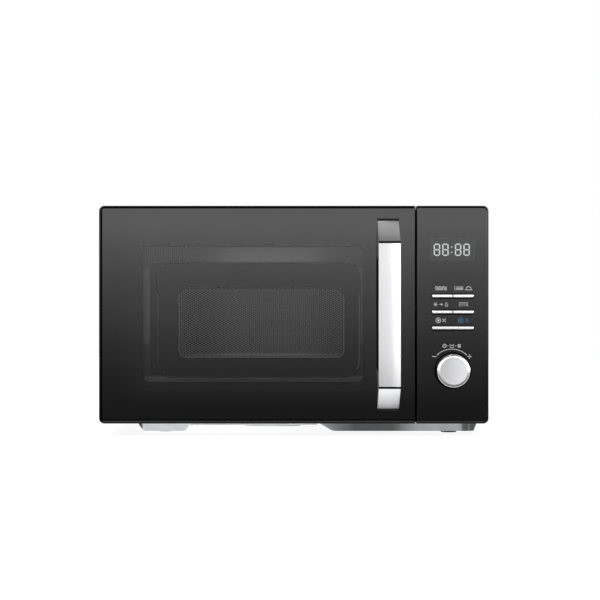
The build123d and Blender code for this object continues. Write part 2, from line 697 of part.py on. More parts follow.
# Rear panel: flat sheet inside the case's lip, slotted behind the fan and at the exhaust side.
fan_radius_out = FAN_RADIUS + FAN_TIP_GAP
fan_half = fan_radius_out + SHROUD_WALL
fan_x = x_case_in - FAN_CLEARANCE - fan_half
fan_z = z_inner - FAN_DROP - fan_half
gland_x = x_right - GLAND_INSET
gland_z = z_low + GLAND_RISE
rear_y = (y_rear_in, y_lip)
exhaust_x = x_left + REAR_EDGE_MARGIN + REAR_VENT_COUNT * VENT_PITCH / 2
with BuildPart() as rear_panel:
    inner_sheet(rear_y)
    with BuildSketch(front_plane(y_rear_in)):
        for vent_x in (fan_x, exhaust_x):
            with Locations((vent_x, fan_z)):
                with GridLocations(VENT_PITCH, REAR_VENT_PITCH, REAR_VENT_COUNT, REAR_VENT_ROWS):
                    SlotOverall(VENT_HEIGHT, VENT_WIDTH, rotation=90)
    extrude(amount=REAR_SHEET, dir=BACKWARD, mode=Mode.SUBTRACT)
    rod_y(gland_x, gland_z, GLAND_RADIUS + CASE_SCREW_FIT, rear_y, mode=Mode.SUBTRACT)
    for place_x, place_z in screw_places:
        rod_y(place_x, place_z, CASE_SCREW_RADIUS + CASE_SCREW_FIT, rear_y, mode=Mode.SUBTRACT)
finish(rear_panel, "rear_panel")

# Case screws: pan heads on the rear lip, through the case and the rear panel.
with BuildPart() as case_screws:
    for place_x, place_z in screw_places:
        rod_y(place_x, place_z, CASE_SCREW_RADIUS, (y_rear - CASE_SCREW_LENGTH, y_rear))
        rod_y(place_x, place_z, CASE_SCREW_HEAD, (y_rear, y_rear + CASE_SCREW_HEAD_HEIGHT))
finish(case_screws, "case_screws")

# Cord gland: a flanged bush for the mains lead, clamped to the rear panel by its nut.
gland_end = y_rear + GLAND_PROUD
with BuildPart() as cord_gland:
    rod_y(gland_x, gland_z, GLAND_RADIUS, (y_rear_in - GLAND_NUT, gland_end))
    rod_y(gland_x, gland_z, GLAND_RADIUS + GLAND_FLANGE, (y_lip, y_lip + GLAND_FLANGE))
    rod_y(gland_x, gland_z, GLAND_RADIUS + GLAND_FLANGE, (y_rear_in - GLAND_NUT, y_rear_in))
    chamfer(cord_gland.faces().sort_by(Axis.Y)[-1].edges(), length=BRIDGE_EDGE)
    gland_y = (y_rear_in - GLAND_NUT - OVERCUT, gland_end + OVERCUT)
    rod_y(gland_x, gland_z, GLAND_BORE, gland_y, mode=Mode.SUBTRACT)
finish(cord_gland, "cord_gland")

# Door frame: moulded tray that holds the glass in front and the screen behind, with bosses for the
# hinge pins, notches where the hinge arms pass, guides for the latch bar and a shelf for its spring.
door_x = (x_left, x_door_right)
screen_x = x_oven - SCREEN_SHIFT
land_x = screen_x + LAND_SHIFT_X
land_z = z_oven - LAND_DROP
sight_x = screen_x + SIGHT_SHIFT_X
sight_z = z_oven - SIGHT_DROP
handle_x = x_door_right - HANDLE_INSET
handle_screw_heights = (
    z_mid - HANDLE_LENGTH / 2 + HANDLE_SCREW_INSET,
    z_mid + HANDLE_LENGTH / 2 - HANDLE_SCREW_INSET,
)
latch_y = (y_web + BODY_GAP, y_web + BODY_GAP + LATCH_BAR_DEPTH)
latch_z = around(z_mid, LATCH_BAR_LENGTH)
spring_z = (latch_z[0] - BODY_GAP - SPRING_LENGTH, latch_z[0] - BODY_GAP)
spring_y = (latch_y[0] + latch_y[1]) / 2
shelf_top = spring_z[0] - BODY_GAP
with BuildPart() as door_frame:
    front_slab(door_x, 0, 0, -1, (y_face + RIM_SETBACK, y_frame))
    front_slab(door_x, RIM_WIDTH, -OVERCUT, -1, (y_face, y_glass), mode=Mode.SUBTRACT)
    front_slab(door_x, FRAME_WALL, FRAME_WALL, -1, (y_web, y_frame), mode=Mode.SUBTRACT)
    with BuildSketch(front_plane(y_glass)):
        with Locations((screen_x, z_oven)):
            window_width = SCREEN_WIDTH + 2 * WINDOW_MARGIN
            RectangleRounded(window_width, SCREEN_HEIGHT + 2 * WINDOW_MARGIN, SCREEN_RADIUS)
    extrude(amount=DOOR_WEB, dir=BACKWARD, mode=Mode.SUBTRACT)
    for arm_z in (upper_arm_z, lower_arm_z):
        notch_x = (x_left - OVERCUT, x_left + FRAME_WALL + OVERCUT)
        notch_z = (arm_z[0] - ARM_CLEARANCE, arm_z[1] + ARM_CLEARANCE)
        block(notch_x, (y_hinge - ARM_SWEEP, y_frame + OVERCUT), notch_z, mode=Mode.SUBTRACT)
    rod_z(x_hinge, y_hinge, BOSS_RADIUS, (upper_arm_z[1] + BODY_GAP, z_high - FRAME_WALL))
    rod_z(x_hinge, y_hinge, BOSS_RADIUS, (z_low + FRAME_WALL, lower_arm_z[0] - BODY_GAP))
    pin_seat = PIN_RADIUS + PRESS_SEAT
    rod_z(x_hinge, y_hinge, pin_seat, (upper_arm_z[1], z_high - FRAME_WALL + PIN_SINK), mode=Mode.SUBTRACT)
    rod_z(x_hinge, y_hinge, pin_seat, (z_low + FRAME_WALL - PIN_SINK, lower_arm_z[0]), mode=Mode.SUBTRACT)
    for guide_z_mid in (z_mid - GUIDE_SPREAD, z_mid + GUIDE_SPREAD):
        guide_span = around(guide_z_mid, GUIDE_LENGTH)
        left_rib = (x_latch[0] - SLIDING_GAP - GUIDE_RIB, x_latch[0] - SLIDING_GAP)
        right_rib = (x_latch[1] + SLIDING_GAP, x_latch[1] + SLIDING_GAP + GUIDE_RIB)
        block(left_rib, (y_web, y_web + GUIDE_DEPTH), guide_span)
        block(right_rib, (y_web, y_web + GUIDE_DEPTH), guide_span)
    shelf_x = (x_latch[0] - SPRING_RADIUS / 2, x_latch[1] + SPRING_RADIUS / 2)
    block(shelf_x, (y_web, latch_y[1]), (shelf_top - SPRING_SHELF, shelf_top))
    for screw_height in handle_screw_heights:
        screw_hole = HANDLE_SCREW_RADIUS + GLASS_FIT
        rod_y(handle_x, screw_height, screw_hole, (y_glass, y_web), mode=Mode.SUBTRACT)
finish(door_frame, "door_frame")

# Door glass: a dark toughened pane, bonded into the frame. Its edge is ground, and it ends flush with
# the frame at the split.
with BuildPart() as door_glass:
    front_slab(door_x, RIM_WIDTH + GLASS_FIT, 0, -1, (y_face, y_glass))
    ground_edges = door_glass.faces().sort_by(Axis.Y)[0].edges().sort_by(Axis.X)[:-1]
    chamfer(ground_edges, length=GLASS_CHAMFER)
    split_edge = door_glass.faces().sort_by(Axis.Y)[0].edges().sort_by(Axis.X)[-1]
    chamfer(split_edge, length=SPLIT_CHAMFER)
    for screw_height in handle_screw_heights:
        screw_hole = HANDLE_SCREW_RADIUS + GLASS_FIT
        rod_y(handle_x, screw_height, screw_hole, (y_face, y_glass), mode=Mode.SUBTRACT)
finish(door_glass, "door_glass")

# Door screen: one pressed steel sheet. A sloped band rises to a plain land near the glass, a dished and
# perforated sight window lies inside it, and the folded edge with its teeth is the microwave choke.
choke_x = (x_oven_left - CHOKE_OVERLAP, x_oven_right + CHOKE_OVERLAP)
choke_z = (z_floor - CHOKE_OVERLAP, z_ceiling + CHOKE_OVERLAP)
y_land = y_web - LAND_RISE
y_sight = y_land + SIGHT_DEPTH
band_far = (y_web, screen_x, z_oven, SCREEN_WIDTH, SCREEN_HEIGHT, SCREEN_RADIUS)
band_near = (y_land, land_x, land_z, LAND_WIDTH, LAND_HEIGHT, LAND_RADIUS)
dish_near = (y_land, sight_x, sight_z, SIGHT_WIDTH, SIGHT_HEIGHT, SIGHT_RADIUS)
dish_width = SIGHT_WIDTH - 2 * SIGHT_SLOPE
dish_height = SIGHT_HEIGHT - 2 * SIGHT_SLOPE
dish_far = (y_sight, sight_x, sight_z, dish_width, dish_height, SIGHT_RADIUS - SIGHT_SLOPE / 2)
with BuildPart() as door_screen:
    block(choke_x, (y_web, y_web + SCREEN_SHEET), choke_z)
    with BuildSketch(front_plane(y_web)):
        with Locations(((choke_x[0] + choke_x[1]) / 2, z_oven)):
            choke_width = choke_x[1] - choke_x[0]
            choke_height = choke_z[1] - choke_z[0]
            Rectangle(choke_width, choke_height)
            Rectangle(choke_width - 2 * SCREEN_SHEET, choke_height - 2 * SCREEN_SHEET, mode=Mode.SUBTRACT)
    extrude(amount=y_cover - y_web, dir=BACKWARD)
    tooth_y = (y_cover - CHOKE_SLOT_DEPTH, y_cover)
    for step in range(1, int(choke_width / CHOKE_TOOTH_PITCH)):
        slot = around(choke_x[0] + step * CHOKE_TOOTH_PITCH, CHOKE_SLOT_WIDTH)
        block(slot, tooth_y, (choke_z[0] - OVERCUT, choke_z[1] + OVERCUT), mode=Mode.SUBTRACT)
    for step in range(1, int(choke_height / CHOKE_TOOTH_PITCH)):
        slot = around(choke_z[0] + step * CHOKE_TOOTH_PITCH, CHOKE_SLOT_WIDTH)
        block((choke_x[0] - OVERCUT, choke_x[1] + OVERCUT), tooth_y, slot, mode=Mode.SUBTRACT)
    front_frustum(band_near, band_far)
    band_near_back = (y_land + SCREEN_SHEET, *band_near[1:])
    band_far_back = (y_web + SCREEN_SHEET, *band_far[1:])
    front_frustum(band_near_back, band_far_back, mode=Mode.SUBTRACT)
    dish_wall = 2 * SCREEN_SHEET
    outer_width = SIGHT_WIDTH + dish_wall
    outer_height = SIGHT_HEIGHT + dish_wall
    floor_width = dish_width + dish_wall
    floor_height = dish_height + dish_wall
    dish_near_back = (y_land, sight_x, sight_z, outer_width, outer_height, dish_near[5])
    dish_far_back = (y_sight + SCREEN_SHEET, sight_x, sight_z, floor_width, floor_height, dish_far[5])
    front_frustum(dish_near_back, dish_far_back)
    front_frustum(dish_near, dish_far, mode=Mode.SUBTRACT)
    hole_columns = int((dish_width - SIGHT_HOLE_PITCH) / SIGHT_HOLE_PITCH)
    hole_rows = int((dish_height - SIGHT_HOLE_PITCH / 2) / SIGHT_HOLE_PITCH)
    with BuildSketch(front_plane(y_sight)):
        with Locations((sight_x, sight_z)):
            with GridLocations(SIGHT_HOLE_PITCH, SIGHT_HOLE_PITCH, hole_columns, hole_rows):
                Circle(SIGHT_HOLE_RADIUS)
    extrude(amount=SCREEN_SHEET, dir=BACKWARD, mode=Mode.SUBTRACT)
    for screw_height in handle_screw_heights:
        head_hole = HANDLE_SCREW_HEAD + OVERCUT
        rod_y(handle_x, screw_height, head_hole, (y_web, y_web + SCREEN_SHEET), mode=Mode.SUBTRACT)
finish(door_screen, "door_screen")

# Choke cover: a flat moulded ring on the choke's edge, cut away at the hinge arms and latch hooks.
cover_inset = FRAME_WALL + COVER_GAP
cover_x = (x_left + cover_inset, x_door_right - cover_inset)
cover_z = (z_low + cover_inset, z_high - cover_inset)
with BuildPart() as choke_cover:
    block(cover_x, (y_cover, y_door), cover_z)
    chamfer(choke_cover.faces().sort_by(Axis.Y)[-1].edges(), length=COVER_CHAMFER)
    with BuildSketch(front_plane(y_cover)):
        with Locations((screen_x, z_oven)):
            RectangleRounded(SCREEN_WIDTH, SCREEN_HEIGHT, SCREEN_RADIUS)
    extrude(amount=COVER_THICKNESS, dir=BACKWARD, mode=Mode.SUBTRACT)
    notch_x = (cover_x[0] - OVERCUT, arm_x[1] + ARM_CLEARANCE)
    upper_notch_z = (upper_arm_z[0] - ARM_CLEARANCE, cover_z[1] + OVERCUT)
    lower_notch_z = (cover_z[0] - OVERCUT, lower_arm_z[1] + ARM_CLEARANCE)
    block(notch_x, (y_cover, y_door), upper_notch_z, mode=Mode.SUBTRACT)
    block(notch_x, (y_cover, y_door), lower_notch_z, mode=Mode.SUBTRACT)
    for hook_z in hook_heights:
        notch_x = (x_latch[0] - HOOK_SLOT_GAP, cover_x[1] + OVERCUT)
        notch_low = hook_z - HOOK_HEIGHT / 2 - HOOK_BARB - HOOK_SLOT_GAP
        notch_high = hook_z + HOOK_HEIGHT / 2 + LATCH_LIFT + HOOK_SLOT_GAP
        block(notch_x, (y_cover, y_door), (notch_low, notch_high), mode=Mode.SUBTRACT)
finish(choke_cover, "choke_cover")

# Inner pane: clear sheet bonded to the inside of the choke cover.
with BuildPart() as door_inner_pane:
    with BuildSketch(front_plane(y_cover - PANE_THICKNESS)):
        with Locations((screen_x, z_oven)):
            RectangleRounded(SCREEN_WIDTH + 2 * PANE_LAP, SCREEN_HEIGHT + 2 * PANE_LAP, SCREEN_RADIUS)
    extrude(amount=PANE_THICKNESS, dir=BACKWARD)
finish(door_inner_pane, "door_inner_pane")

# Hinge pins: steel pins pressed into the frame's bosses, turning in the bracket arms.
with BuildPart() as hinge_pins:
    rod_z(x_hinge, y_hinge, PIN_RADIUS, (upper_arm_z[0] - PIN_TAIL, z_high - FRAME_WALL + PIN_SINK))
    rod_z(x_hinge, y_hinge, PIN_RADIUS, (z_low + FRAME_WALL - PIN_SINK, lower_arm_z[1] + PIN_TAIL))
finish(hinge_pins, "hinge_pins")

# Handle pads: black gaskets between the handle's posts and the glass, a little longer than the posts.
y_bridge = y_face - HANDLE_PAD_THICKNESS
bridge_half = HANDLE_LENGTH / 2
finger_half = FINGER_LENGTH / 2
with BuildPart() as handle_pads:
    pad_end = bridge_half + HANDLE_PAD_MARGIN
    for side in (-1, 1):
        pad_z = sorted((z_mid + side * finger_half, z_mid + side * pad_end))
        block(around(handle_x, HANDLE_WIDTH), (y_bridge, y_face), pad_z)
    for screw_height in handle_screw_heights:
        screw_hole = HANDLE_SCREW_RADIUS + GLASS_FIT
        rod_y(handle_x, screw_height, screw_hole, (y_bridge, y_face), mode=Mode.SUBTRACT)
finish(handle_pads, "handle_pads")

# Handle bridge: two posts with sloped outer ends, joined by a spine that carries the grip.
y_grip = y_face - HANDLE_STANDOFF
y_spine = y_grip + GRIP_THICKNESS
y_spine_back = y_spine + SPINE_THICKNESS
slope_top_half = GRIP_LENGTH / 2 + GRIP_END_GAP
with BuildPart() as handle_bridge:
    with BuildSketch(Plane.YZ.offset(handle_x - HANDLE_WIDTH / 2)):
        with BuildLine():
            Polyline(
                (y_bridge, z_mid + bridge_half),
                (y_grip + BRIDGE_EDGE, z_mid + slope_top_half),
                (y_spine, z_mid + slope_top_half),
                (y_spine, z_mid - slope_top_half),
                (y_grip + BRIDGE_EDGE, z_mid - slope_top_half),
                (y_bridge, z_mid - bridge_half),
                (y_bridge, z_mid - finger_half),
                (y_spine_back, z_mid - finger_half + FINGER_DRAFT),
                (y_spine_back, z_mid + finger_half - FINGER_DRAFT),
                (y_bridge, z_mid + finger_half),
                close=True,
            )
        make_face()
    extrude(amount=HANDLE_WIDTH)
    side_faces = handle_bridge.faces().filter_by(Axis.X)
    long_edges = side_faces.edges().filter_by(lambda edge: edge.length > HANDLE_STANDOFF)
    outer_edges = long_edges.filter_by(lambda edge: edge.center().Y < y_bridge - BRIDGE_EDGE)
    chamfer(outer_edges, length=BRIDGE_EDGE / 2)
    for screw_height in handle_screw_heights:
        screw_hole = HANDLE_SCREW_RADIUS + PRESS_SEAT
        hole_y = (y_face - HANDLE_SCREW_REACH, y_bridge)
        rod_y(handle_x, screw_height, screw_hole, hole_y, mode=Mode.SUBTRACT)
finish(handle_bridge, "handle_bridge")

# Handle grip: a flat bar with eased edges, bonded to the face of the bridge.
with BuildPart() as handle_grip:
    block(around(handle_x, HANDLE_WIDTH), (y_grip, y_spine), around(z_mid, GRIP_LENGTH))
    chamfer(handle_grip.faces().sort_by(Axis.Y)[0].edges(), length=GRIP_EDGE)
finish(handle_grip, "handle_grip")

# Handle screws: from inside the door, through the web and the glass into the posts.
with BuildPart() as handle_screws:
    for screw_height in handle_screw_heights:
        rod_y(handle_x, screw_height, HANDLE_SCREW_RADIUS, (y_face - HANDLE_SCREW_REACH + OVERCUT, y_web))
        rod_y(handle_x, screw_height, HANDLE_SCREW_HEAD, (y_web, y_web + HANDLE_SCREW_HEAD_HEIGHT))
finish(handle_screws, "handle_screws")

# Latch bar: a moulded bar that lifts in the frame's guides, with two barbed hooks out of the door's back.
y_hook_tip = y_door + HOOK_REACH
with BuildPart() as latch_bar:
    block(x_latch, latch_y, latch_z)
    for hook_z in hook_heights:
        hook_low = hook_z - HOOK_HEIGHT / 2
        block(x_latch, (latch_y[1], y_hook_tip), (hook_low, hook_z + HOOK_HEIGHT / 2))
        with BuildSketch(Plane.YZ.offset(x_latch[0])):
            with BuildLine():
                Polyline(
                    (y_hook_tip, hook_low),
                    (y_hook_tip - HOOK_BARB, hook_low - HOOK_BARB),
                    (y_hook_tip - HOOK_BARB_LENGTH, hook_low - HOOK_BARB),
                    (y_hook_tip - HOOK_BARB_LENGTH, hook_low),
                    close=True,
                )
            make_face()
        extrude(amount=LATCH_THICKNESS)
finish(latch_bar, "latch_bar")

# Latch spring: a wound spring from the frame's shelf to the foot of the latch bar.
spring_turns = int(SPRING_LENGTH / SPRING_PITCH)
with BuildPart() as latch_spring:
    spring_low = spring_z[0] + SPRING_WIRE
    spring_high = spring_z[1] - SPRING_WIRE
    wind_pitch = (spring_high - spring_low) / spring_turns
    with BuildLine() as coil:
        Helix(pitch=wind_pitch, height=spring_high - spring_low, radius=SPRING_RADIUS - SPRING_WIRE,
              center=(x_latch_mid, spring_y, spring_low))
    with BuildSketch(Plane(coil.line @ 0, z_dir=coil.line % 0)):
        Circle(SPRING_WIRE)
    sweep(path=coil.line)
finish(latch_spring, "latch_spring")

# Control panel housing: moulded tray beside the door with a rounded right side. Its web has openings for
# the display, the push bars and the dial shaft, ears for the rocking bar and posts for the circuit board.
panel_x = (x_panel_left, x_right)
y_panel_web = y_glass + PANEL_WEB
y_panel = y_plate
y_board = y_face + BOARD_DEPTH
board_x = (x_panel_left + BOARD_MARGIN, x_right - BOARD_MARGIN)
board_z = (z_low + BOARD_BOTTOM, z_high - BOARD_TOP)
display_z = z_low + DISPLAY_RISE
display_x_span = around(x_panel_mid, DISPLAY_WIDTH)
display_z_span = around(display_z, DISPLAY_HEIGHT)
dial_z = z_low + DIAL_RISE
row_z = [z_low + BUTTON_TOP_RISE - row * BUTTON_PITCH for row in range(BUTTON_ROW_COUNT)]
rocker_z = row_z[-1]
y_rocker_axis = y_panel_web + ROCKER_AXIS_DEPTH
bar_slot = (BUTTON_SPAN + 2 * BAR_SLOT_GAP, BUTTON_HEIGHT + 2 * BAR_SLOT_GAP)
shaft_hole = SHAFT_RADIUS + SHAFT_HOLE_GAP


def cut_panel_openings(y):
    """Cuts the slots for the bars and the hole for the dial shaft through one layer of the panel."""
    with BuildSketch(front_plane(y[0])) as slots:
        for bar_z in row_z:
            with Locations((x_panel_mid, bar_z)):
                RectangleRounded(bar_slot[0], bar_slot[1], BUTTON_END_RADIUS + BAR_SLOT_GAP)
    extrude(slots.sketch, amount=y[1] - y[0], dir=BACKWARD, mode=Mode.SUBTRACT)
    rod_y(x_panel_mid, dial_z, shaft_hole, y, mode=Mode.SUBTRACT)


def round_bar(piece, ends):
    """Rounds the ends of a bar that are named by their places along X, then eases its front edge."""
    upright = piece.edges().filter_by(Axis.Y).sort_by(Axis.X)
    fillet([edge for end in ends for edge in upright[end]], radius=BUTTON_END_RADIUS)
    front_edges = piece.faces().sort_by(Axis.Y)[0].edges()
    fillet(front_edges.filter_by(Axis.Z, reverse=True), radius=BUTTON_EDGE)


with BuildPart() as control_housing:
    front_slab(panel_x, 0, 0, 1, (y_face + RIM_SETBACK, y_panel))
    front_slab(panel_x, RIM_WIDTH, -OVERCUT, 1, (y_face, y_glass), mode=Mode.SUBTRACT)
    front_slab(panel_x, FRAME_WALL, FRAME_WALL, 1, (y_panel_web, y_panel), mode=Mode.SUBTRACT)
    display_gap = 2 * SLIDING_GAP
    opening_x = around(x_panel_mid, DISPLAY_WIDTH + display_gap)
    opening_z = around(display_z, DISPLAY_HEIGHT + display_gap)
    block(opening_x, (y_glass, y_panel_web), opening_z, mode=Mode.SUBTRACT)
    cut_panel_openings((y_glass, y_panel_web))
    for post_x in (board_x[0] + POST_INSET, board_x[1] - POST_INSET):
        for post_z in (board_z[0] + POST_INSET, board_z[1] - POST_INSET):
            rod_y(post_x, post_z, POST_RADIUS, (y_panel_web, y_board))
    ear_inner = BUTTON_HEIGHT / 2 + FLANGE_LIP + SLIDING_GAP
    for side in (-1, 1):
        ear_z = sorted((rocker_z + side * ear_inner, rocker_z + side * (ear_inner + EAR_THICKNESS)))
        block(around(x_panel_mid, EAR_WIDTH), (y_panel_web, y_rocker_axis + EAR_REACH), ear_z)
        ear_hole = ROCKER_PIN_RADIUS + RUNNING_FIT
        rod_z(x_panel_mid, y_rocker_axis, ear_hole, ear_z, mode=Mode.SUBTRACT)
finish(control_housing, "control_housing")

# Control panel glass: the same dark pane as the door's, with slots for the bars and a hole for the dial.
with BuildPart() as control_glass:
    front_slab(panel_x, RIM_WIDTH + GLASS_FIT, 0, 1, (y_face, y_glass))
    ground_edges = control_glass.faces().sort_by(Axis.Y)[0].edges().sort_by(Axis.X)[1:]
    chamfer(ground_edges, length=PANEL_CHAMFER)
    split_edge = control_glass.faces().sort_by(Axis.Y)[0].edges().sort_by(Axis.X)[0]
    chamfer(split_edge, length=SPLIT_CHAMFER)
    cut_panel_openings((y_face, y_glass))
finish(control_glass, "control_glass")

# Display module: a potted clock display on the circuit board, just behind the glass.
with BuildPart() as display_module:
    block(display_x_span, (y_glass + DISPLAY_GAP, y_board), display_z_span)
finish(display_module, "display_module")

# Control board: the printed circuit behind the panel, seated on the housing's posts.
with BuildPart() as control_board:
    block(board_x, (y_board, y_board + BOARD_THICKNESS), board_z)
finish(control_board, "control_board")

# Key switches: small push switches on the board, one behind each bar and two behind the rocking bar.
half_span = (BUTTON_SPAN - BUTTON_SPLIT) / 2
half_offset = (BUTTON_SPAN + BUTTON_SPLIT) / 4
key_places = [(x_panel_mid + side * half_offset, bar_z) for bar_z in row_z[:-1] for side in (-1, 1)]
key_places += [(x_panel_mid + side * ROCKER_STEM_SPREAD, rocker_z) for side in (-1, 1)]
y_key = y_board - KEY_HEIGHT
with BuildPart() as key_switches:
    for key_x, key_z in key_places:
        block(around(key_x, KEY_SIZE), (y_key + STEM_RADIUS, y_board), around(key_z, KEY_SIZE))
        rod_y(key_x, key_z, STEM_RADIUS, (y_key, y_key + STEM_RADIUS))
finish(key_switches, "key_switches")

# Push bars: four short chrome bars in two rows, each with a flange behind the panel and a stem.
y_flange = y_panel_web + BODY_GAP
y_flange_back = y_flange + FLANGE_THICKNESS
y_bar_front = y_face - BUTTON_PROUD
flange_height = BUTTON_HEIGHT + 2 * FLANGE_LIP
left_end, right_end = slice(None, 2), slice(-2, None)
for row, row_name in enumerate(("upper", "lower")):
    for side, side_name in ((-1, "left"), (1, "right")):
        bar_x = x_panel_mid + side * half_offset
        bar_z = row_z[row]
        bar_span = around(bar_x, half_span)
        flange_end = bar_x + side * (half_span / 2 + FLANGE_LIP)
        flange_span = (min(flange_end, bar_span[0]), max(flange_end, bar_span[1]))
        with BuildPart() as push_bar:
            block(bar_span, (y_bar_front, y_flange), around(bar_z, BUTTON_HEIGHT))
            round_bar(push_bar, (left_end,) if side < 0 else (right_end,))
            block(flange_span, (y_flange, y_flange_back), around(bar_z, flange_height))
            stem_end = y_key - BUTTON_TRAVEL - BODY_GAP
            rod_y(bar_x, bar_z, STEM_RADIUS, (y_flange_back, stem_end))
        finish(push_bar, f"{row_name}_{side_name}_button")

# Rocking bar: one long chrome bar for stop and start, on a trunnion held by the housing's ears.
y_rocker_flange = y_panel_web + ROCKER_FLANGE_GAP
y_rocker_back = y_rocker_flange + FLANGE_THICKNESS
with BuildPart() as start_rocker:
    block(around(x_panel_mid, BUTTON_SPAN), (y_bar_front, y_rocker_flange), around(rocker_z, BUTTON_HEIGHT))
    round_bar(start_rocker, (left_end, right_end))
    flange_span = around(x_panel_mid, BUTTON_SPAN + 2 * FLANGE_LIP)
    block(flange_span, (y_rocker_flange, y_rocker_back), around(rocker_z, BUTTON_HEIGHT))
    rib_y_span = (y_rocker_back, y_rocker_axis + ROCKER_PIN_RADIUS)
    block(around(x_panel_mid, ROCKER_RIB_WIDTH), rib_y_span, around(rocker_z, BUTTON_HEIGHT))
    pin_half = BUTTON_HEIGHT / 2 + FLANGE_LIP + SLIDING_GAP + EAR_THICKNESS
    rod_z(x_panel_mid, y_rocker_axis, ROCKER_PIN_RADIUS, (rocker_z - pin_half, rocker_z + pin_half))
    for side in (-1, 1):
        stem_x = x_panel_mid + side * ROCKER_STEM_SPREAD
        rod_y(stem_x, rocker_z, STEM_RADIUS, (y_rocker_back, y_key - ROCKER_STEM_GAP))
finish(start_rocker, "start_rocker")

# Encoder body: the dial's rotary encoder on the circuit board, with its bushing.
y_encoder = y_board - ENCODER_HEIGHT
with BuildPart() as encoder_body:
    block(around(x_panel_mid, ENCODER_SIZE), (y_encoder, y_board), around(dial_z, ENCODER_SIZE))
    rod_y(x_panel_mid, dial_z, BUSHING_RADIUS, (y_encoder - BUSHING_LENGTH, y_encoder))
    bore_y = (y_encoder - BUSHING_LENGTH, y_encoder + SHAFT_SINK + BODY_GAP)
    rod_y(x_panel_mid, dial_z, SHAFT_RADIUS + RUNNING_FIT, bore_y, mode=Mode.SUBTRACT)
finish(encoder_body, "encoder_body")

# Encoder shaft: the steel spindle from the encoder to the dial.
y_dial = y_face - DIAL_LENGTH
y_dial_back = y_face - DIAL_GAP
with BuildPart() as encoder_shaft:
    rod_y(x_panel_mid, dial_z, SHAFT_RADIUS, (y_dial + DIAL_CAP, y_encoder + SHAFT_SINK))
finish(encoder_shaft, "encoder_shaft")

# Dial: a turned aluminium cap with an eased rim, hollow behind, with a hub that grips the shaft.
with BuildPart() as dial:
    rod_y(x_panel_mid, dial_z, DIAL_RADIUS, (y_dial, y_dial_back))
    chamfer(dial.faces().sort_by(Axis.Y)[0].edges(), length=DIAL_EDGE)
    rod_y(x_panel_mid, dial_z, DIAL_RADIUS - DIAL_WALL, (y_dial + DIAL_CAP, y_dial_back), mode=Mode.SUBTRACT)
    rod_y(x_panel_mid, dial_z, DIAL_HUB_RADIUS, (y_dial + DIAL_CAP, y_dial_back))
    hub_bore = SHAFT_RADIUS + PRESS_SEAT
    rod_y(x_panel_mid, dial_z, hub_bore, (y_dial + DIAL_CAP, y_dial_back), mode=Mode.SUBTRACT)
finish(dial, "dial")

# Dial bezel: a black ring bonded to the panel glass round the dial.
bezel_inner = DIAL_RADIUS + BEZEL_GAP
with BuildPart() as dial_bezel:
    bezel_y = (y_face - BEZEL_PROUD, y_face)
    rod_y(x_panel_mid, dial_z, bezel_inner + BEZEL_WIDTH, bezel_y)
    chamfer(dial_bezel.faces().sort_by(Axis.Y)[0].edges(), length=BEZEL_EDGE)
    rod_y(x_panel_mid, dial_z, bezel_inner, bezel_y, mode=Mode.SUBTRACT)
finish(dial_bezel, "dial_bezel")

# Latch board: the moulded plate behind the front plate that the hooks enter beside, with the switches.
x_latch_board = x_latch[1] + LATCH_BOARD_GAP
latch_board_y = (y_cavity, y_cavity + LATCH_BOARD_DEPTH)
with BuildPart() as latch_board:
    board_thick = (x_latch_board, x_latch_board + LATCH_BOARD_SHEET)
    block(board_thick, latch_board_y, around(z_mid, LATCH_BOARD_HEIGHT))
finish(latch_board, "latch_board")

# Interlock switches: two microswitches on the latch board, one behind each hook.
y_plunger = y_hook_tip + PLUNGER_GAP
y_switch = y_plunger + PLUNGER_PROUD
plunger_bore = PLUNGER_RADIUS + RUNNING_FIT
with BuildPart() as interlock_switches:
    for hook_z in hook_heights:
        switch_x = (x_latch_board - SWITCH_WIDTH, x_latch_board)
        block(switch_x, (y_switch, y_switch + SWITCH_LENGTH), around(hook_z, SWITCH_HEIGHT))
        bore_y = (y_switch, y_switch + PLUNGER_SINK + PLUNGER_TRAVEL + BODY_GAP)
        rod_y(x_latch_mid, hook_z, plunger_bore, bore_y, mode=Mode.SUBTRACT)
finish(interlock_switches, "interlock_switches")

# Switch plungers: the sprung actuators that the hooks push in.
for plunger_name, hook_z in zip(("lower_switch_plunger", "upper_switch_plunger"), hook_heights):
    with BuildPart() as plunger:
        rod_y(x_latch_mid, hook_z, PLUNGER_RADIUS, (y_plunger, y_switch + PLUNGER_SINK))
    finish(plunger, plunger_name)

# Waveguide: a folded duct on the cavity's right wall, open to the cavity through its port.
guide_x = (x_wall, x_wall + WAVEGUIDE_DEPTH)
antenna_z = guide_z[1] - ANTENNA_DROP
with BuildPart() as waveguide:
    block(guide_x, around(guide_y, WAVEGUIDE_WIDTH), guide_z)
    inside_z = (guide_z[0] + GUIDE_SHEET, guide_z[1] - GUIDE_SHEET)
    inside_y = around(guide_y, WAVEGUIDE_WIDTH - 2 * GUIDE_SHEET)
    block((guide_x[0], guide_x[1] - GUIDE_SHEET), inside_y, inside_z, mode=Mode.SUBTRACT)
    antenna_hole = ANTENNA_RADIUS + ANTENNA_GAP
    rod_x(guide_y, antenna_z, antenna_hole, (guide_x[1] - GUIDE_SHEET, guide_x[1]), mode=Mode.SUBTRACT)
finish(waveguide, "waveguide")

# Waveguide cover: a mica sheet on the cavity's wall over the port.
mica_y = (port_y[0] - MICA_LAP, port_y[1] + MICA_LAP)
mica_z = (port_z[0] - MICA_LAP, port_z[1] + MICA_LAP)
with BuildPart() as waveguide_cover:
    block((x_oven_right - MICA_THICKNESS, x_oven_right), mica_y, mica_z)
finish(waveguide_cover, "waveguide_cover")

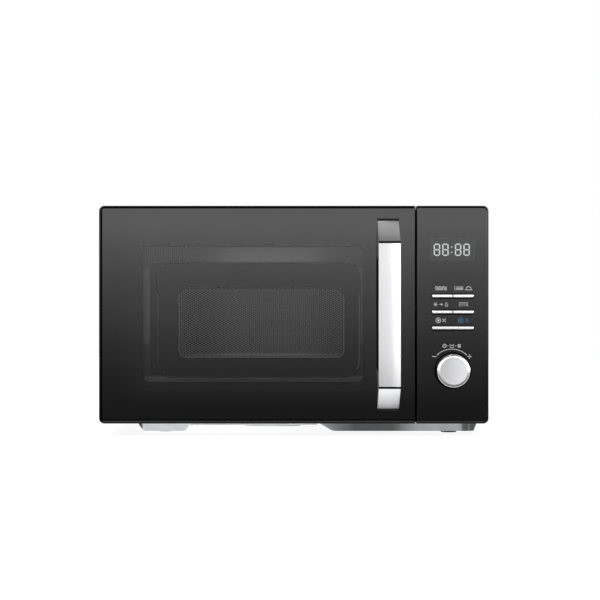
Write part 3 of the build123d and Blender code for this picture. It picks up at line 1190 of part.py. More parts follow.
# Magnetron: anode with cooling fins in an open steel yoke, antenna in the waveguide, filter box outside.
yoke_x = (guide_x[1], guide_x[1] + YOKE_LENGTH)
filter_box_x = (yoke_x[1], yoke_x[1] + FILTER_BOX_LENGTH)
with BuildPart() as magnetron:
    block(yoke_x, around(guide_y, YOKE_WIDTH), around(antenna_z, YOKE_HEIGHT))
    hollow_x = (yoke_x[0] + YOKE_SHEET, yoke_x[1] - YOKE_SHEET)
    hollow_z = around(antenna_z, YOKE_HEIGHT - 2 * YOKE_SHEET)
    block(hollow_x, around(guide_y, YOKE_WIDTH + OVERCUT), hollow_z, mode=Mode.SUBTRACT)
    rod_x(guide_y, antenna_z, ANODE_RADIUS, yoke_x)
    rod_x(guide_y, antenna_z, ANTENNA_RADIUS, (yoke_x[0] - ANTENNA_LENGTH, yoke_x[0]))
    for fin in range(1, FIN_COUNT + 1):
        fin_x = yoke_x[0] + fin * YOKE_LENGTH / (FIN_COUNT + 1)
        block(around(fin_x, FIN_THICKNESS), around(guide_y, YOKE_WIDTH), around(antenna_z, YOKE_HEIGHT))
    block(filter_box_x, around(guide_y, FILTER_BOX_SIZE), around(antenna_z, FILTER_BOX_SIZE))
finish(magnetron, "magnetron")

# Power transformer: a laminated core with two windows, and two coils round its middle leg.
z_bay = PAD_HEIGHT + BASE_SHEET
core_x = x_case_in - CORE_INSET - CORE_WIDTH / 2
core_y = y_face + CORE_SETBACK + CORE_LENGTH / 2
core_z = (z_bay, z_bay + CORE_HEIGHT)
window_offset = CORE_LEG / 2 + (CORE_WIDTH - CORE_LEG - 2 * CORE_YOKE) / 4
window_wide = (CORE_WIDTH - CORE_LEG - 2 * CORE_YOKE) / 2
window_z = (core_z[0] + CORE_YOKE, core_z[1] - CORE_YOKE)
with BuildPart() as transformer_core:
    block(around(core_x, CORE_WIDTH), around(core_y, CORE_LENGTH), core_z)
    for side in (-1, 1):
        window_x = around(core_x + side * window_offset, window_wide)
        block(window_x, around(core_y, CORE_LENGTH), window_z, mode=Mode.SUBTRACT)
finish(transformer_core, "transformer_core")

coil_height = (window_z[1] - window_z[0] - COIL_SPLIT - 2 * COIL_FIT) / 2
coil_levels = (window_z[0] + COIL_FIT, window_z[1] - COIL_FIT - coil_height)
with BuildPart() as transformer_coils:
    for level in coil_levels:
        coil_span = (level, level + coil_height)
        coil_wide = CORE_LEG + 2 * (window_wide - COIL_FIT)
        block(around(core_x, coil_wide), around(core_y, CORE_LENGTH + 2 * COIL_BUILD), coil_span)
        inner_wide = CORE_LEG + 2 * COIL_FIT
        inner_long = CORE_LENGTH + 2 * COIL_FIT
        block(around(core_x, inner_wide), around(core_y, inner_long), coil_span, mode=Mode.SUBTRACT)
finish(transformer_coils, "transformer_coils")

# High-voltage capacitor: an oval can that stands in the bay, with two blade terminals on top.
capacitor_x = x_case_in - CAPACITOR_INSET - CAPACITOR_LENGTH / 2
capacitor_y = y_rear_in - CAPACITOR_FORWARD
capacitor_top = z_bay + CAPACITOR_HEIGHT
with BuildPart() as capacitor:
    with BuildSketch(Plane.XY.offset(z_bay)):
        with Locations((capacitor_x, capacitor_y)):
            SlotOverall(CAPACITOR_LENGTH, CAPACITOR_WIDTH)
    extrude(amount=CAPACITOR_HEIGHT)
    for side in (-1, 1):
        blade_x = around(capacitor_x + side * TERMINAL_SPREAD, TERMINAL_WIDTH)
        blade_z = (capacitor_top, capacitor_top + TERMINAL_HEIGHT)
        block(blade_x, around(capacitor_y, TERMINAL_THICKNESS), blade_z)
finish(capacitor, "capacitor")

# Fan shroud: a square moulded duct on the rear panel with a spider that carries the motor.
shroud_y = (y_rear_in - SHROUD_DEPTH, y_rear_in)
spider_y = (shroud_y[0], shroud_y[0] + SPIDER_THICKNESS)
with BuildPart() as fan_shroud:
    block(around(fan_x, 2 * fan_half), shroud_y, around(fan_z, 2 * fan_half))
    rod_y(fan_x, fan_z, fan_radius_out, shroud_y, mode=Mode.SUBTRACT)
    block(around(fan_x, 2 * fan_half), spider_y, around(fan_z, SPIDER_WIDTH))
    block(around(fan_x, SPIDER_WIDTH), spider_y, around(fan_z, 2 * fan_half))
    rod_y(fan_x, fan_z, FAN_SHAFT_RADIUS + SPIDER_HOLE_GAP, spider_y, mode=Mode.SUBTRACT)
finish(fan_shroud, "fan_shroud")

# Fan motor: a shaded-pole motor on the spider, bored for the fan's shaft.
fan_motor_y = (shroud_y[0] - FAN_MOTOR_LENGTH, shroud_y[0])
with BuildPart() as fan_motor:
    block(around(fan_x, FAN_MOTOR_SIZE), fan_motor_y, around(fan_z, FAN_MOTOR_SIZE))
    bore_y = (fan_motor_y[1] - FAN_SHAFT_SINK - BODY_GAP, fan_motor_y[1])
    rod_y(fan_x, fan_z, FAN_SHAFT_RADIUS + RUNNING_FIT, bore_y, mode=Mode.SUBTRACT)
finish(fan_motor, "fan_motor")

# Fan: a moulded hub with pitched blades on a shaft that runs in the motor.
fan_y = (spider_y[1] + FAN_SPIDER_GAP, spider_y[1] + FAN_SPIDER_GAP + FAN_HUB_LENGTH)
fan_mid_y = (fan_y[0] + fan_y[1]) / 2
blade_reach = FAN_RADIUS - FAN_HUB_RADIUS / 2
with BuildPart() as fan:
    rod_y(fan_x, fan_z, FAN_HUB_RADIUS, fan_y)
    rod_y(fan_x, fan_z, FAN_SHAFT_RADIUS, (fan_motor_y[1] - FAN_SHAFT_SINK, fan_y[0]))
    with Locations(Plane.XZ.offset(-fan_mid_y)):
        with Locations((fan_x, fan_z)):
            with PolarLocations(FAN_HUB_RADIUS / 2 + blade_reach / 2, FAN_BLADE_COUNT):
                Box(blade_reach, FAN_BLADE_WIDTH, FAN_BLADE_THICKNESS, rotation=(FAN_BLADE_TWIST, 0, 0))
finish(fan, "fan")

# Cavity lamp: a bulb in its holder on the cavity's right wall, behind the drilled light holes.
lamp_base_x = (x_wall + LAMP_BULB_LENGTH, x_wall + LAMP_BULB_LENGTH + LAMP_BASE_LENGTH)
with BuildPart() as cavity_lamp:
    block(lamp_base_x, around(lamp_y, LAMP_BASE_SIZE), around(lamp_z, LAMP_BASE_SIZE))
    lamp_leg_z = (lamp_z - LAMP_BASE_SIZE / 2, lamp_z - LAMP_BASE_SIZE / 2 + BRACKET_SHEET)
    block((x_wall, lamp_base_x[0]), around(lamp_y, LAMP_BASE_SIZE), lamp_leg_z)
    bulb_x = (x_wall + LAMP_BULB_RADIUS, lamp_base_x[0])
    rod_x(lamp_y, lamp_z, LAMP_BULB_RADIUS, bulb_x)
    fillet(cavity_lamp.faces().filter_by(Axis.X).sort_by(Axis.X)[1].edges(), radius=LAMP_BULB_RADIUS / 2)
finish(cavity_lamp, "cavity_lamp")

# Tray motor: a flat synchronous motor under the cavity's floor, bored for the coupler's stem.
with BuildPart() as tray_motor:
    tray_motor_z = (z_under - TRAY_MOTOR_HEIGHT, z_under)
    rod_z(x_oven, y_oven, TRAY_MOTOR_RADIUS, tray_motor_z)
    ear_y = around(y_oven, 2 * (TRAY_MOTOR_RADIUS + TRAY_MOTOR_EAR))
    ear_z = (z_under - BRACKET_SHEET, z_under)
    block(around(x_oven, 2 * TRAY_MOTOR_EAR), ear_y, ear_z)
    stem_bore = COUPLER_STEM_RADIUS + RUNNING_FIT
    bore_z = (z_under - COUPLER_STEM_DEPTH - BODY_GAP, z_under)
    rod_z(x_oven, y_oven, stem_bore, bore_z, mode=Mode.SUBTRACT)
finish(tray_motor, "tray_motor")

# Tray coupler: a three-armed drive on the motor, which the glass tray sits on.
z_tray = z_floor + BODY_GAP + 2 * ROLLER_RADIUS + BODY_GAP
with BuildPart() as tray_coupler:
    rod_z(x_oven, y_oven, COUPLER_HUB_RADIUS, (z_floor + COUPLER_LIFT, z_tray))
    rod_z(x_oven, y_oven, COUPLER_STEM_RADIUS, (z_under - COUPLER_STEM_DEPTH, z_floor + COUPLER_LIFT))
    with Locations((x_oven, y_oven, z_tray - COUPLER_ARM_HEIGHT / 2)):
        with PolarLocations(COUPLER_ARM_LENGTH / 2, COUPLER_ARM_COUNT):
            Box(COUPLER_ARM_LENGTH, COUPLER_ARM_WIDTH, COUPLER_ARM_HEIGHT)
finish(tray_coupler, "tray_coupler")

# Glass tray: a pressed dish with a raised rim and three lugs between the coupler's arms.
tray_flat = TRAY_RADIUS - TRAY_RIM_WIDTH
with BuildPart() as glass_tray:
    with BuildSketch(Plane.XZ.offset(-y_oven)):
        with BuildLine():
            Polyline(
                (x_oven, z_tray),
                (x_oven + tray_flat, z_tray),
                (x_oven + TRAY_RADIUS, z_tray + TRAY_RIM_HEIGHT),
                (x_oven + TRAY_RADIUS, z_tray + TRAY_RIM_HEIGHT + TRAY_THICKNESS),
                (x_oven + TRAY_RADIUS - TRAY_THICKNESS / 2, z_tray + TRAY_RIM_HEIGHT + TRAY_THICKNESS),
                (x_oven + tray_flat - TRAY_THICKNESS / 2, z_tray + TRAY_THICKNESS),
                (x_oven, z_tray + TRAY_THICKNESS),
                close=True,
            )
        make_face()
    revolve(axis=Axis((x_oven, y_oven, 0), (0, 0, 1)))
    with Locations((x_oven, y_oven, z_tray - TRAY_LUG_HEIGHT / 2)):
        with PolarLocations(TRAY_LUG_CIRCLE, COUPLER_ARM_COUNT, start_angle=180 / COUPLER_ARM_COUNT):
            Cylinder(TRAY_LUG_RADIUS, TRAY_LUG_HEIGHT)
finish(glass_tray, "glass_tray")

# Roller ring: a moulded ring with three outward pins for the rollers, loose on the cavity's floor.
z_roller = z_floor + BODY_GAP + ROLLER_RADIUS
roller_track = TRAY_RADIUS - ROLLER_TRACK_INSET
roller_inner = roller_track - ROLLER_WIDTH / 2
roller_outer = roller_track + ROLLER_WIDTH / 2
ring_outer = roller_inner - RING_GAP
cap_start = roller_outer + BODY_GAP
roller_angles = [360 * index / ROLLER_COUNT for index in range(ROLLER_COUNT)]
ring_z = around(z_roller, RING_HEIGHT)
with BuildPart() as roller_ring:
    rod_z(x_oven, y_oven, ring_outer, ring_z)
    rod_z(x_oven, y_oven, ring_outer - RING_WIDTH, ring_z, mode=Mode.SUBTRACT)
    for angle in roller_angles:
        outward = (cos(radians(angle)), sin(radians(angle)), 0)
        spoke = Plane((x_oven, y_oven, z_roller), x_dir=(0, 0, 1), z_dir=outward)
        with BuildSketch(spoke.offset(ring_outer - RING_WIDTH / 2)):
            Circle(ROLLER_BORE - RUNNING_FIT)
        extrude(amount=cap_start - ring_outer + RING_WIDTH / 2)
        with BuildSketch(spoke.offset(ring_outer - RING_WIDTH / 2)):
            Circle(PIN_CAP_RADIUS - RUNNING_FIT)
        extrude(amount=roller_inner - BODY_GAP - ring_outer + RING_WIDTH / 2)
        with BuildSketch(spoke.offset(cap_start)):
            Circle(PIN_CAP_RADIUS)
        extrude(amount=PIN_CAP_WIDTH)
finish(roller_ring, "roller_ring")

# Rollers: three plain wheels on the ring's pins, between the floor and the tray.
for index, angle in enumerate(roller_angles):
    outward = (cos(radians(angle)), sin(radians(angle)), 0)
    spoke = Plane((x_oven, y_oven, z_roller), x_dir=(0, 0, 1), z_dir=outward)
    with BuildPart() as roller:
        with BuildSketch(spoke.offset(roller_inner)):
            Circle(ROLLER_RADIUS)
            Circle(ROLLER_BORE, mode=Mode.SUBTRACT)
        extrude(amount=ROLLER_WIDTH)
    finish(roller, f"roller_{index + 1}")

# Grill reflector: a folded steel trough over the ceiling's slots, which holds the heating tubes' ends.
tube_z = z_roof + REFLECTOR_HEIGHT / 2
reflector_half_x = grill_half + REFLECTOR_MARGIN
reflector_half_y = grill_slot_length / 2 + REFLECTOR_MARGIN
reflector_x = around(x_oven, 2 * reflector_half_x)
reflector_y = around(y_oven, 2 * reflector_half_y)
reflector_z = (z_roof, z_roof + REFLECTOR_HEIGHT)
tube_lines = (y_oven - TUBE_SPREAD, y_oven + TUBE_SPREAD)
with BuildPart() as grill_reflector:
    block(reflector_x, reflector_y, reflector_z)
    trough_x = around(x_oven, 2 * (reflector_half_x - REFLECTOR_SHEET))
    trough_y = around(y_oven, 2 * (reflector_half_y - REFLECTOR_SHEET))
    block(trough_x, trough_y, (z_roof, reflector_z[1] - REFLECTOR_SHEET), mode=Mode.SUBTRACT)
    lip_z = (z_roof, z_roof + REFLECTOR_SHEET)
    block(reflector_x, (reflector_y[0] - REFLECTOR_LIP, reflector_y[0]), lip_z)
    block(reflector_x, (reflector_y[1], reflector_y[1] + REFLECTOR_LIP), lip_z)
    for tube_y in tube_lines:
        tube_hole = TUBE_RADIUS + TUBE_FIT
        hole_x = (reflector_x[0] - OVERCUT, reflector_x[1] + OVERCUT)
        rod_x(tube_y, tube_z, tube_hole, hole_x, mode=Mode.SUBTRACT)
finish(grill_reflector, "grill_reflector")

# Grill elements: two quartz heating tubes with ceramic end caps outside the reflector's ends.
with BuildPart() as grill_elements:
    for tube_y in tube_lines:
        rod_x(tube_y, tube_z, TUBE_RADIUS, reflector_x)
        rod_x(tube_y, tube_z, TUBE_CAP_RADIUS, (reflector_x[0] - TUBE_CAP_LENGTH, reflector_x[0]))
        rod_x(tube_y, tube_z, TUBE_CAP_RADIUS, (reflector_x[1], reflector_x[1] + TUBE_CAP_LENGTH))
finish(grill_elements, "grill_elements")

# Filter board: the mains filter on standoffs on the cavity's roof, beside the reflector.
filter_x = x_oven_right - CAVITY_RADIUS - FILTER_BOARD_INSET - FILTER_BOARD_WIDTH / 2
filter_z = (z_roof + FILTER_STANDOFF, z_roof + FILTER_STANDOFF + FILTER_BOARD_THICKNESS)
filter_span_x = around(filter_x, FILTER_BOARD_WIDTH)
filter_span_y = around(y_oven, FILTER_BOARD_LENGTH)
with BuildPart() as filter_board:
    block(filter_span_x, filter_span_y, filter_z)
    for post_x in (filter_span_x[0] + POST_INSET, filter_span_x[1] - POST_INSET):
        for post_y in (filter_span_y[0] + POST_INSET, filter_span_y[1] - POST_INSET):
            rod_z(post_x, post_y, POST_RADIUS, (z_roof, filter_z[0]))
    for coil_y in (y_oven - FILTER_BOARD_LENGTH / 4, y_oven + FILTER_BOARD_LENGTH / 4):
        rod_z(filter_x, coil_y, FILTER_COIL_RADIUS, (filter_z[1], filter_z[1] + FILTER_COIL_HEIGHT))
finish(filter_board, "filter_board")
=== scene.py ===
from math import cos, pi, radians, sin

import bmesh
import bpy
from mathutils import Matrix, Vector


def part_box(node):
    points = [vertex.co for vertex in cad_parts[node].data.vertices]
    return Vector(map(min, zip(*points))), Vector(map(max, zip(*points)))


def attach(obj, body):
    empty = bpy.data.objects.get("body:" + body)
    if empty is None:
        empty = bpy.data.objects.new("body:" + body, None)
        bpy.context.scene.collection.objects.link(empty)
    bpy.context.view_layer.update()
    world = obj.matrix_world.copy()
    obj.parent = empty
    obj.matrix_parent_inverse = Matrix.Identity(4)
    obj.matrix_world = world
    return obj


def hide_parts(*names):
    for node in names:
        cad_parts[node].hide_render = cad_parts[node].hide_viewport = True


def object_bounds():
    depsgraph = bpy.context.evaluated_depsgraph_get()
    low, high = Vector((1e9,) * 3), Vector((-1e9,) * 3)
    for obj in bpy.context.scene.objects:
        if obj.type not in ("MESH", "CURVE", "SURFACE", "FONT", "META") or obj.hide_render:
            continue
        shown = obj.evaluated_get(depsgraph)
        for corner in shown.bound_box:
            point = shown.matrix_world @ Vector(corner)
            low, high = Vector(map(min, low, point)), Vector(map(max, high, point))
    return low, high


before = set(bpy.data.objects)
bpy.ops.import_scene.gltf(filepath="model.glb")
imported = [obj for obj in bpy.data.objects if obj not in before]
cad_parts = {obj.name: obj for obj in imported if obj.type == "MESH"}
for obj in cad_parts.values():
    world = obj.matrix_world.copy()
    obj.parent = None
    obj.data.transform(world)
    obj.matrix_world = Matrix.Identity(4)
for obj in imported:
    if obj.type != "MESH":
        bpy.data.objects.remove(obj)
cad_low, cad_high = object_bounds()


# Base plate: the oven stands on one sheet of zinc-coated steel with pressed feet and a wide pressed
# bay under the power supply. Its coat is bright, with rolling marks and the slow waves of a pressed
# sheet. The rear panel, brackets, waveguide and grill trough are flat sheet of it, with its spangle.
class Wire:
    """A shader socket that takes part in arithmetic: each operation adds a Math node, and | joins masks."""

    def __init__(self, shading, socket):
        self.shading = shading
        self.socket = socket

    def math(self, operation, second=0.0, third=0.0):
        return self.shading.node("Math", {"operation": operation}, {0: self, 1: second, 2: third})

    def __add__(self, other):
        return self.math("ADD", other)

    def __sub__(self, other):
        return self.math("SUBTRACT", other)

    def __rsub__(self, other):
        return self.math("MULTIPLY_ADD", -1.0, other)

    def __mul__(self, other):
        return self.math("MULTIPLY", other)

    def __truediv__(self, other):
        return self.math("DIVIDE", other)

    def __lt__(self, other):
        return self.math("LESS_THAN", other)

    def __gt__(self, other):
        return self.math("GREATER_THAN", other)

    def __or__(self, other):
        return self.math("MAXIMUM", other)

    def __abs__(self):
        return self.math("ABSOLUTE")

    __radd__ = __add__
    __rmul__ = __mul__


class Shading:
    """A node tree that is filled through one method, and the coordinates that it reads."""

    def __init__(self, tree, coordinates="Object"):
        self.tree = tree
        self.tree.nodes.clear()
        self.place = self.node("TexCoord", {}, {}, out=coordinates)

    def node(self, kind, settings, sockets, out=0):
        made = self.tree.nodes.new("ShaderNode" + kind)
        for key, value in settings.items():
            setattr(made, key, value)
        for key, value in sockets.items():
            self.join(made.inputs[key], value)
        return Wire(self, made.outputs[out])

    def join(self, socket, value):
        if isinstance(value, Wire):
            self.tree.links.new(value.socket, socket)
        else:
            socket.default_value = value

    def output(self, kind, shader):
        self.join(self.tree.nodes.new("ShaderNodeOutput" + kind).inputs["Surface"], shader)

    def axis(self, name):
        return self.node("SeparateXYZ", {}, {0: self.place}, out=name)

    def mix(self, factor, first, second):
        return self.node("Mix", {"data_type": "RGBA"}, {0: factor, 6: first, 7: second}, out=2)

    def ramp(self, value, low, high, out_low=0.0, out_high=1.0):
        """A smooth step between two outputs while the value goes from low to high."""
        limits = {"Value": value, "From Min": low, "From Max": high, "To Min": out_low, "To Max": out_high}
        return self.node("MapRange", {"interpolation_type": "SMOOTHSTEP"}, limits)


class Finish(Shading):
    """A procedural material round one Principled shader, on Object coordinates."""

    def __init__(self, name, color, **plain):
        self.material = bpy.data.materials.new(name)
        self.material.use_nodes = True
        super().__init__(self.material.node_tree)
        self.shader = self.tree.nodes.new("ShaderNodeBsdfPrincipled")
        self.output("Material", Wire(self, self.shader.outputs[0]))
        self.feed("Base Color", (*color, 1.0))
        for key, value in plain.items():
            self.feed(key.replace("_", " ").title().replace("Ior", "IOR"), value)

    def feed(self, name, value):
        self.join(self.shader.inputs[name], value)

    def between(self, name, low, high):
        return (self.axis(name) > low) * (self.axis(name) < high)

    def stretched(self, scale):
        return self.node("Mapping", {}, {"Vector": self.place, "Scale": scale})

    def noise(self, scale, detail=2.0, place=None):
        return self.node("TexNoise", {}, {"Vector": place or self.place, "Scale": scale, "Detail": detail})

    def tint(self, amount, dark, light):
        self.feed("Base Color", self.mix(amount, (*dark, 1.0), (*light, 1.0)))

    def emboss(self, height, strength, distance):
        relief = {"Strength": strength, "Distance": distance, "Height": height}
        self.feed("Normal", self.node("Bump", {}, relief))

    def frame_distance(self, centre, size, radius):
        """How far a point lies outside a rounded rectangle that is seen from the front, in metres."""
        over_x = abs(self.axis("X") - centre[0]) - (size[0] / 2 - radius)
        over_z = abs(self.axis("Z") - centre[1]) - (size[1] / 2 - radius)
        out_x = over_x.math("MAXIMUM", 0.0)
        out_z = over_z.math("MAXIMUM", 0.0)
        corner = (out_x * out_x + out_z * out_z).math("SQRT")
        return corner + over_x.math("MAXIMUM", over_z).math("MINIMUM", 0.0) - radius


def dress(finish, *names):
    """Gives CAD nodes their finish."""
    for name in names:
        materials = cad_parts[name].data.materials
        materials.clear()
        materials.append(finish.material)


zinc = Finish("zinc_sheet", (0.62, 0.63, 0.64), metallic=1.0)
zinc.tint(zinc.noise(90.0, 3.0), (0.46, 0.47, 0.48), (0.64, 0.65, 0.66))
zinc.feed("Roughness", zinc.noise(35.0) * 0.12 + 0.18)
rolling_marks = zinc.noise(60.0, 4.0, zinc.stretched((1.0, 14.0, 1.0)))
zinc.emboss(zinc.noise(22.0, 1.0) + rolling_marks * 0.05, 0.35, 0.004)
dress(zinc, "base_plate")

flat_zinc = Finish("flat_zinc_sheet", (0.60, 0.61, 0.62), metallic=1.0)
crystals = flat_zinc.node("TexVoronoi", {}, {"Vector": flat_zinc.place, "Scale": 75.0}, out="Color")
spangle = flat_zinc.node("RGBToBW", {}, {0: crystals})
flat_zinc.tint(spangle * 0.7 + flat_zinc.noise(400.0, 3.0) * 0.3, (0.47, 0.48, 0.49), (0.66, 0.67, 0.68))
flat_zinc.feed("Roughness", spangle * 0.12 + 0.34)
flat_zinc.emboss(flat_zinc.noise(9.0, 1.0), 0.12, 0.004)
dress(flat_zinc, "rear_panel", "upper_hinge_bracket", "lower_hinge_bracket", "waveguide", "grill_reflector")

# Foot pads: four rubber discs glued under the pressed feet and the bay. The rubber is dull, and lighter
# grey along its lowest two millimetres. The gaskets under the handle's posts are cut from the same rubber.
rubber = Finish("black_rubber", (0.018, 0.018, 0.019), roughness=0.75, specular_ior_level=0.2)
lower_edge = rubber.ramp(rubber.axis("Z"), 0.0012, 0.0024, 1.0, 0.0)
greyed = rubber.noise(300.0, 3.0) * (lower_edge * 0.5 + 0.06) + lower_edge * 0.3
rubber.tint(greyed, (0.004, 0.004, 0.005), (0.26, 0.26, 0.27))
rubber.emboss(rubber.noise(1500.0), 0.2, 0.0002)
dress(rubber, "foot_pads", "handle_pads")

# Oven cavity and its front plate: welded sheet steel under a grey semi-gloss enamel.
# The enamel has a fine speckle and pools slightly, so that its gloss wanders.
enamel = Finish("grey_enamel", (0.42, 0.43, 0.43), coat_weight=0.25, coat_roughness=0.12)
enamel.tint(enamel.ramp(enamel.noise(2200.0, 1.0), 0.56, 0.66), (0.44, 0.45, 0.45), (0.26, 0.27, 0.28))
enamel.feed("Roughness", enamel.noise(60.0) * 0.15 + 0.26)
enamel.emboss(enamel.noise(220.0), 0.05, 0.0005)
dress(enamel, "cavity_shell", "cavity_front_plate")

# Power supply: a laminated core with two wound coils, a capacitor and the microwave source, which stand
# in the base plate's bay and on the waveguide and show only through the vents. The tray's motor and the
# dial's encoder have the same sheet cans, and the fan's motor a like core.
can = Finish("can_metal", (0.60, 0.60, 0.61), metallic=1.0)
can.tint(can.noise(120.0, 3.0), (0.48, 0.48, 0.49), (0.70, 0.70, 0.71))
can.feed("Roughness", can.noise(80.0) * 0.2 + 0.3)
dress(can, "magnetron", "capacitor", "tray_motor", "encoder_body")

iron = Finish("core_iron", (0.12, 0.12, 0.125), metallic=0.6)
laminations = (iron.axis("Y") * 8000.0).math("SINE") * 0.5 + 0.5
iron.tint(laminations, (0.07, 0.07, 0.075), (0.20, 0.20, 0.205))
iron.feed("Roughness", iron.noise(150.0) * 0.2 + 0.45)
dress(iron, "transformer_core", "fan_motor")

wire = Finish("coil_wire", (0.45, 0.20, 0.09), metallic=0.7)
turns = (wire.axis("Z") * 4500.0).math("SINE") * 0.5 + 0.5
wire.tint(turns, (0.26, 0.10, 0.045), (0.60, 0.28, 0.13))
wire.feed("Roughness", turns * 0.2 + 0.35)
dress(wire, "transformer_coils")

# Fan, lamp and boards: moulded shroud and blades, a lamp in its white holder, and etched boards, held by
# the rear panel, the cavity and the panel's posts. The latch, the choke's cover, the switches and the
# tray's drive are moulded in the same plastics.
inner_plastic = Finish("inner_moulding", (0.035, 0.035, 0.037))
inner_plastic.tint(inner_plastic.noise(200.0, 3.0), (0.024, 0.024, 0.026), (0.046, 0.046, 0.049))
inner_plastic.feed("Roughness", inner_plastic.noise(120.0) * 0.16 + 0.4)
inner_plastic.emboss(inner_plastic.noise(1800.0), 0.12, 0.0002)
dress(inner_plastic, "fan_shroud", "fan", "choke_cover", "latch_bar")

white_plastic = Finish("white_moulding", (0.74, 0.73, 0.70))
white_plastic.tint(white_plastic.noise(90.0, 3.0), (0.68, 0.67, 0.63), (0.79, 0.78, 0.75))
white_plastic.feed("Roughness", white_plastic.noise(300.0) * 0.15 + 0.38)
white_plastic.emboss(white_plastic.noise(1200.0), 0.06, 0.0002)
dress(white_plastic, "latch_board", "cavity_lamp", "tray_coupler", "roller_ring", "roller_1", "roller_2",
      "roller_3", "upper_switch_plunger", "lower_switch_plunger")

switch_plastic = Finish("switch_body", (0.04, 0.04, 0.043))
switch_plastic.tint(switch_plastic.noise(250.0), (0.028, 0.028, 0.030), (0.055, 0.055, 0.058))
switch_plastic.feed("Roughness", switch_plastic.noise(400.0) * 0.15 + 0.45)
dress(switch_plastic, "key_switches", "interlock_switches")

board = Finish("circuit_board", (0.02, 0.13, 0.05), roughness=0.38)
tracks = board.noise(260.0, 4.0)
board.tint(board.ramp(tracks, 0.46, 0.54), (0.014, 0.10, 0.04), (0.05, 0.20, 0.09))
board.emboss(tracks, 0.1, 0.0003)
dress(board, "control_board", "filter_board")

# Grill and waveguide cover: quartz heating tubes held in a trough over the cavity's ceiling, and a mica
# sheet on the cavity's wall over the waveguide's port.
quartz = Finish("quartz", (0.86, 0.85, 0.83), transmission_weight=0.85, ior=1.46)
quartz.tint(quartz.noise(60.0), (0.80, 0.78, 0.74), (0.90, 0.89, 0.88))
quartz.feed("Roughness", quartz.noise(500.0) * 0.2 + 0.25)
dress(quartz, "grill_elements")

mica = Finish("mica_sheet", (0.42, 0.34, 0.23), roughness=0.5)
mica.tint(mica.noise(70.0, 5.0), (0.30, 0.23, 0.15), (0.56, 0.47, 0.34))
mica.feed("Roughness", mica.noise(140.0) * 0.25 + 0.35)
dress(mica, "waveguide_cover")

# Glass tray: one pressed soda-glass dish with a rounded rim, loose on the coupler and the rollers.
# The glass is clear with a slight green depth and soft pressing ripples.
tray_low, tray_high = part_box("glass_tray")
tray_centre = (tray_low + tray_high) / 2
tray_reach = (tray_high.x - tray_low.x) / 2
tray_lug = 0.004
tray_under = tray_low.z + tray_lug
tray_top = tray_high.z - tray_under


def spun(profile, centre, axis, steps):
    """A body of revolution from profile points given as (radius, height along the axis)."""
    form = bmesh.new()
    line = [form.verts.new((radius, 0, height)) for radius, height in profile]
    edges = [form.edges.new(pair) for pair in zip(line, line[1:])]
    bmesh.ops.spin(form, geom=line + edges, cent=(0, 0, 0), axis=(0, 0, 1), angle=2 * pi, steps=steps,
                   use_merge=True)
    bmesh.ops.remove_doubles(form, verts=form.verts, dist=1e-6)
    bmesh.ops.recalc_face_normals(form, faces=form.faces)
    turn = Vector((0, 0, 1)).rotation_difference(Vector(axis)).to_matrix().to_4x4()
    bmesh.ops.transform(form, matrix=Matrix.Translation(centre) @ turn, verts=form.verts)
    return form


def piece(name, form, finish, body, slot, *replaced):
    """Makes a mesh an object that rides on a body and stands for the CAD nodes named."""
    mesh = bpy.data.meshes.new(name)
    form.to_mesh(mesh)
    form.free()
    mesh.materials.append(finish.material)
    mesh.shade_smooth()
    mesh.set_sharp_from_angle(angle=radians(30.0))
    made = bpy.data.objects.new(name, mesh)
    bpy.context.scene.collection.objects.link(made)
    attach(made, body)
    if replaced:
        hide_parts(*replaced)


clear_glass = Finish("tray_glass", (0.93, 0.97, 0.96), transmission_weight=1.0, ior=1.5)
clear_glass.tint(clear_glass.noise(30.0), (0.90, 0.95, 0.94), (0.95, 0.98, 0.97))
clear_glass.feed("Roughness", clear_glass.noise(70.0) * 0.03 + 0.01)
clear_glass.emboss(clear_glass.noise(45.0), 0.06, 0.001)
tray_flat = tray_reach - 0.012
lug_circle = 0.017
tray_mesh = spun(
    [
        (0.0, 0.0), (tray_flat - 0.004, 0.0), (tray_flat, 0.0006), (tray_flat + 0.003, 0.0022),
        (tray_reach - 0.0008, tray_top - 0.0055), (tray_reach, tray_top - 0.0035),
        (tray_reach, tray_top - 0.0015), (tray_reach - 0.0006, tray_top - 0.0003),
        (tray_reach - 0.0015, tray_top), (tray_reach - 0.0026, tray_top - 0.0006),
        (tray_reach - 0.0042, tray_top - 0.0030), (tray_flat + 0.0006, 0.0064), (tray_flat - 0.003, 0.0052),
        (tray_flat - 0.008, 0.0050), (0.0, 0.0050),
    ],
    (tray_centre.x, tray_centre.y, tray_under), (0, 0, 1), 96,
)
for lug in range(3):
    way = radians(60 + 120 * lug)
    lug_place = Vector((tray_centre.x + lug_circle * cos(way), tray_centre.y + lug_circle * sin(way),
                        tray_under - tray_lug / 2 + 0.0002))
    bmesh.ops.create_cone(tray_mesh, cap_ends=True, segments=24, radius1=0.0024, radius2=0.003,
                          depth=tray_lug - 0.0004, matrix=Matrix.Translation(lug_place))
piece("turntable_tray", tray_mesh, clear_glass, "turntable", "tray_glass", "glass_tray")

# Outer case: one folded steel sheet over the top and sides, powder coated in satin black.
# It is screwed to the rear panel through its lip, and its vents are pressed through.
powder_coat = Finish("case_paint", (0.016, 0.016, 0.017), specular_ior_level=0.4)
powder_coat.tint(powder_coat.noise(900.0, 3.0), (0.011, 0.011, 0.012), (0.022, 0.022, 0.023))
powder_coat.feed("Roughness", powder_coat.noise(45.0) * 0.10 + 0.36)
powder_coat.emboss(powder_coat.noise(1400.0, 2.0), 0.18, 0.0003)
dress(powder_coat, "outer_case")

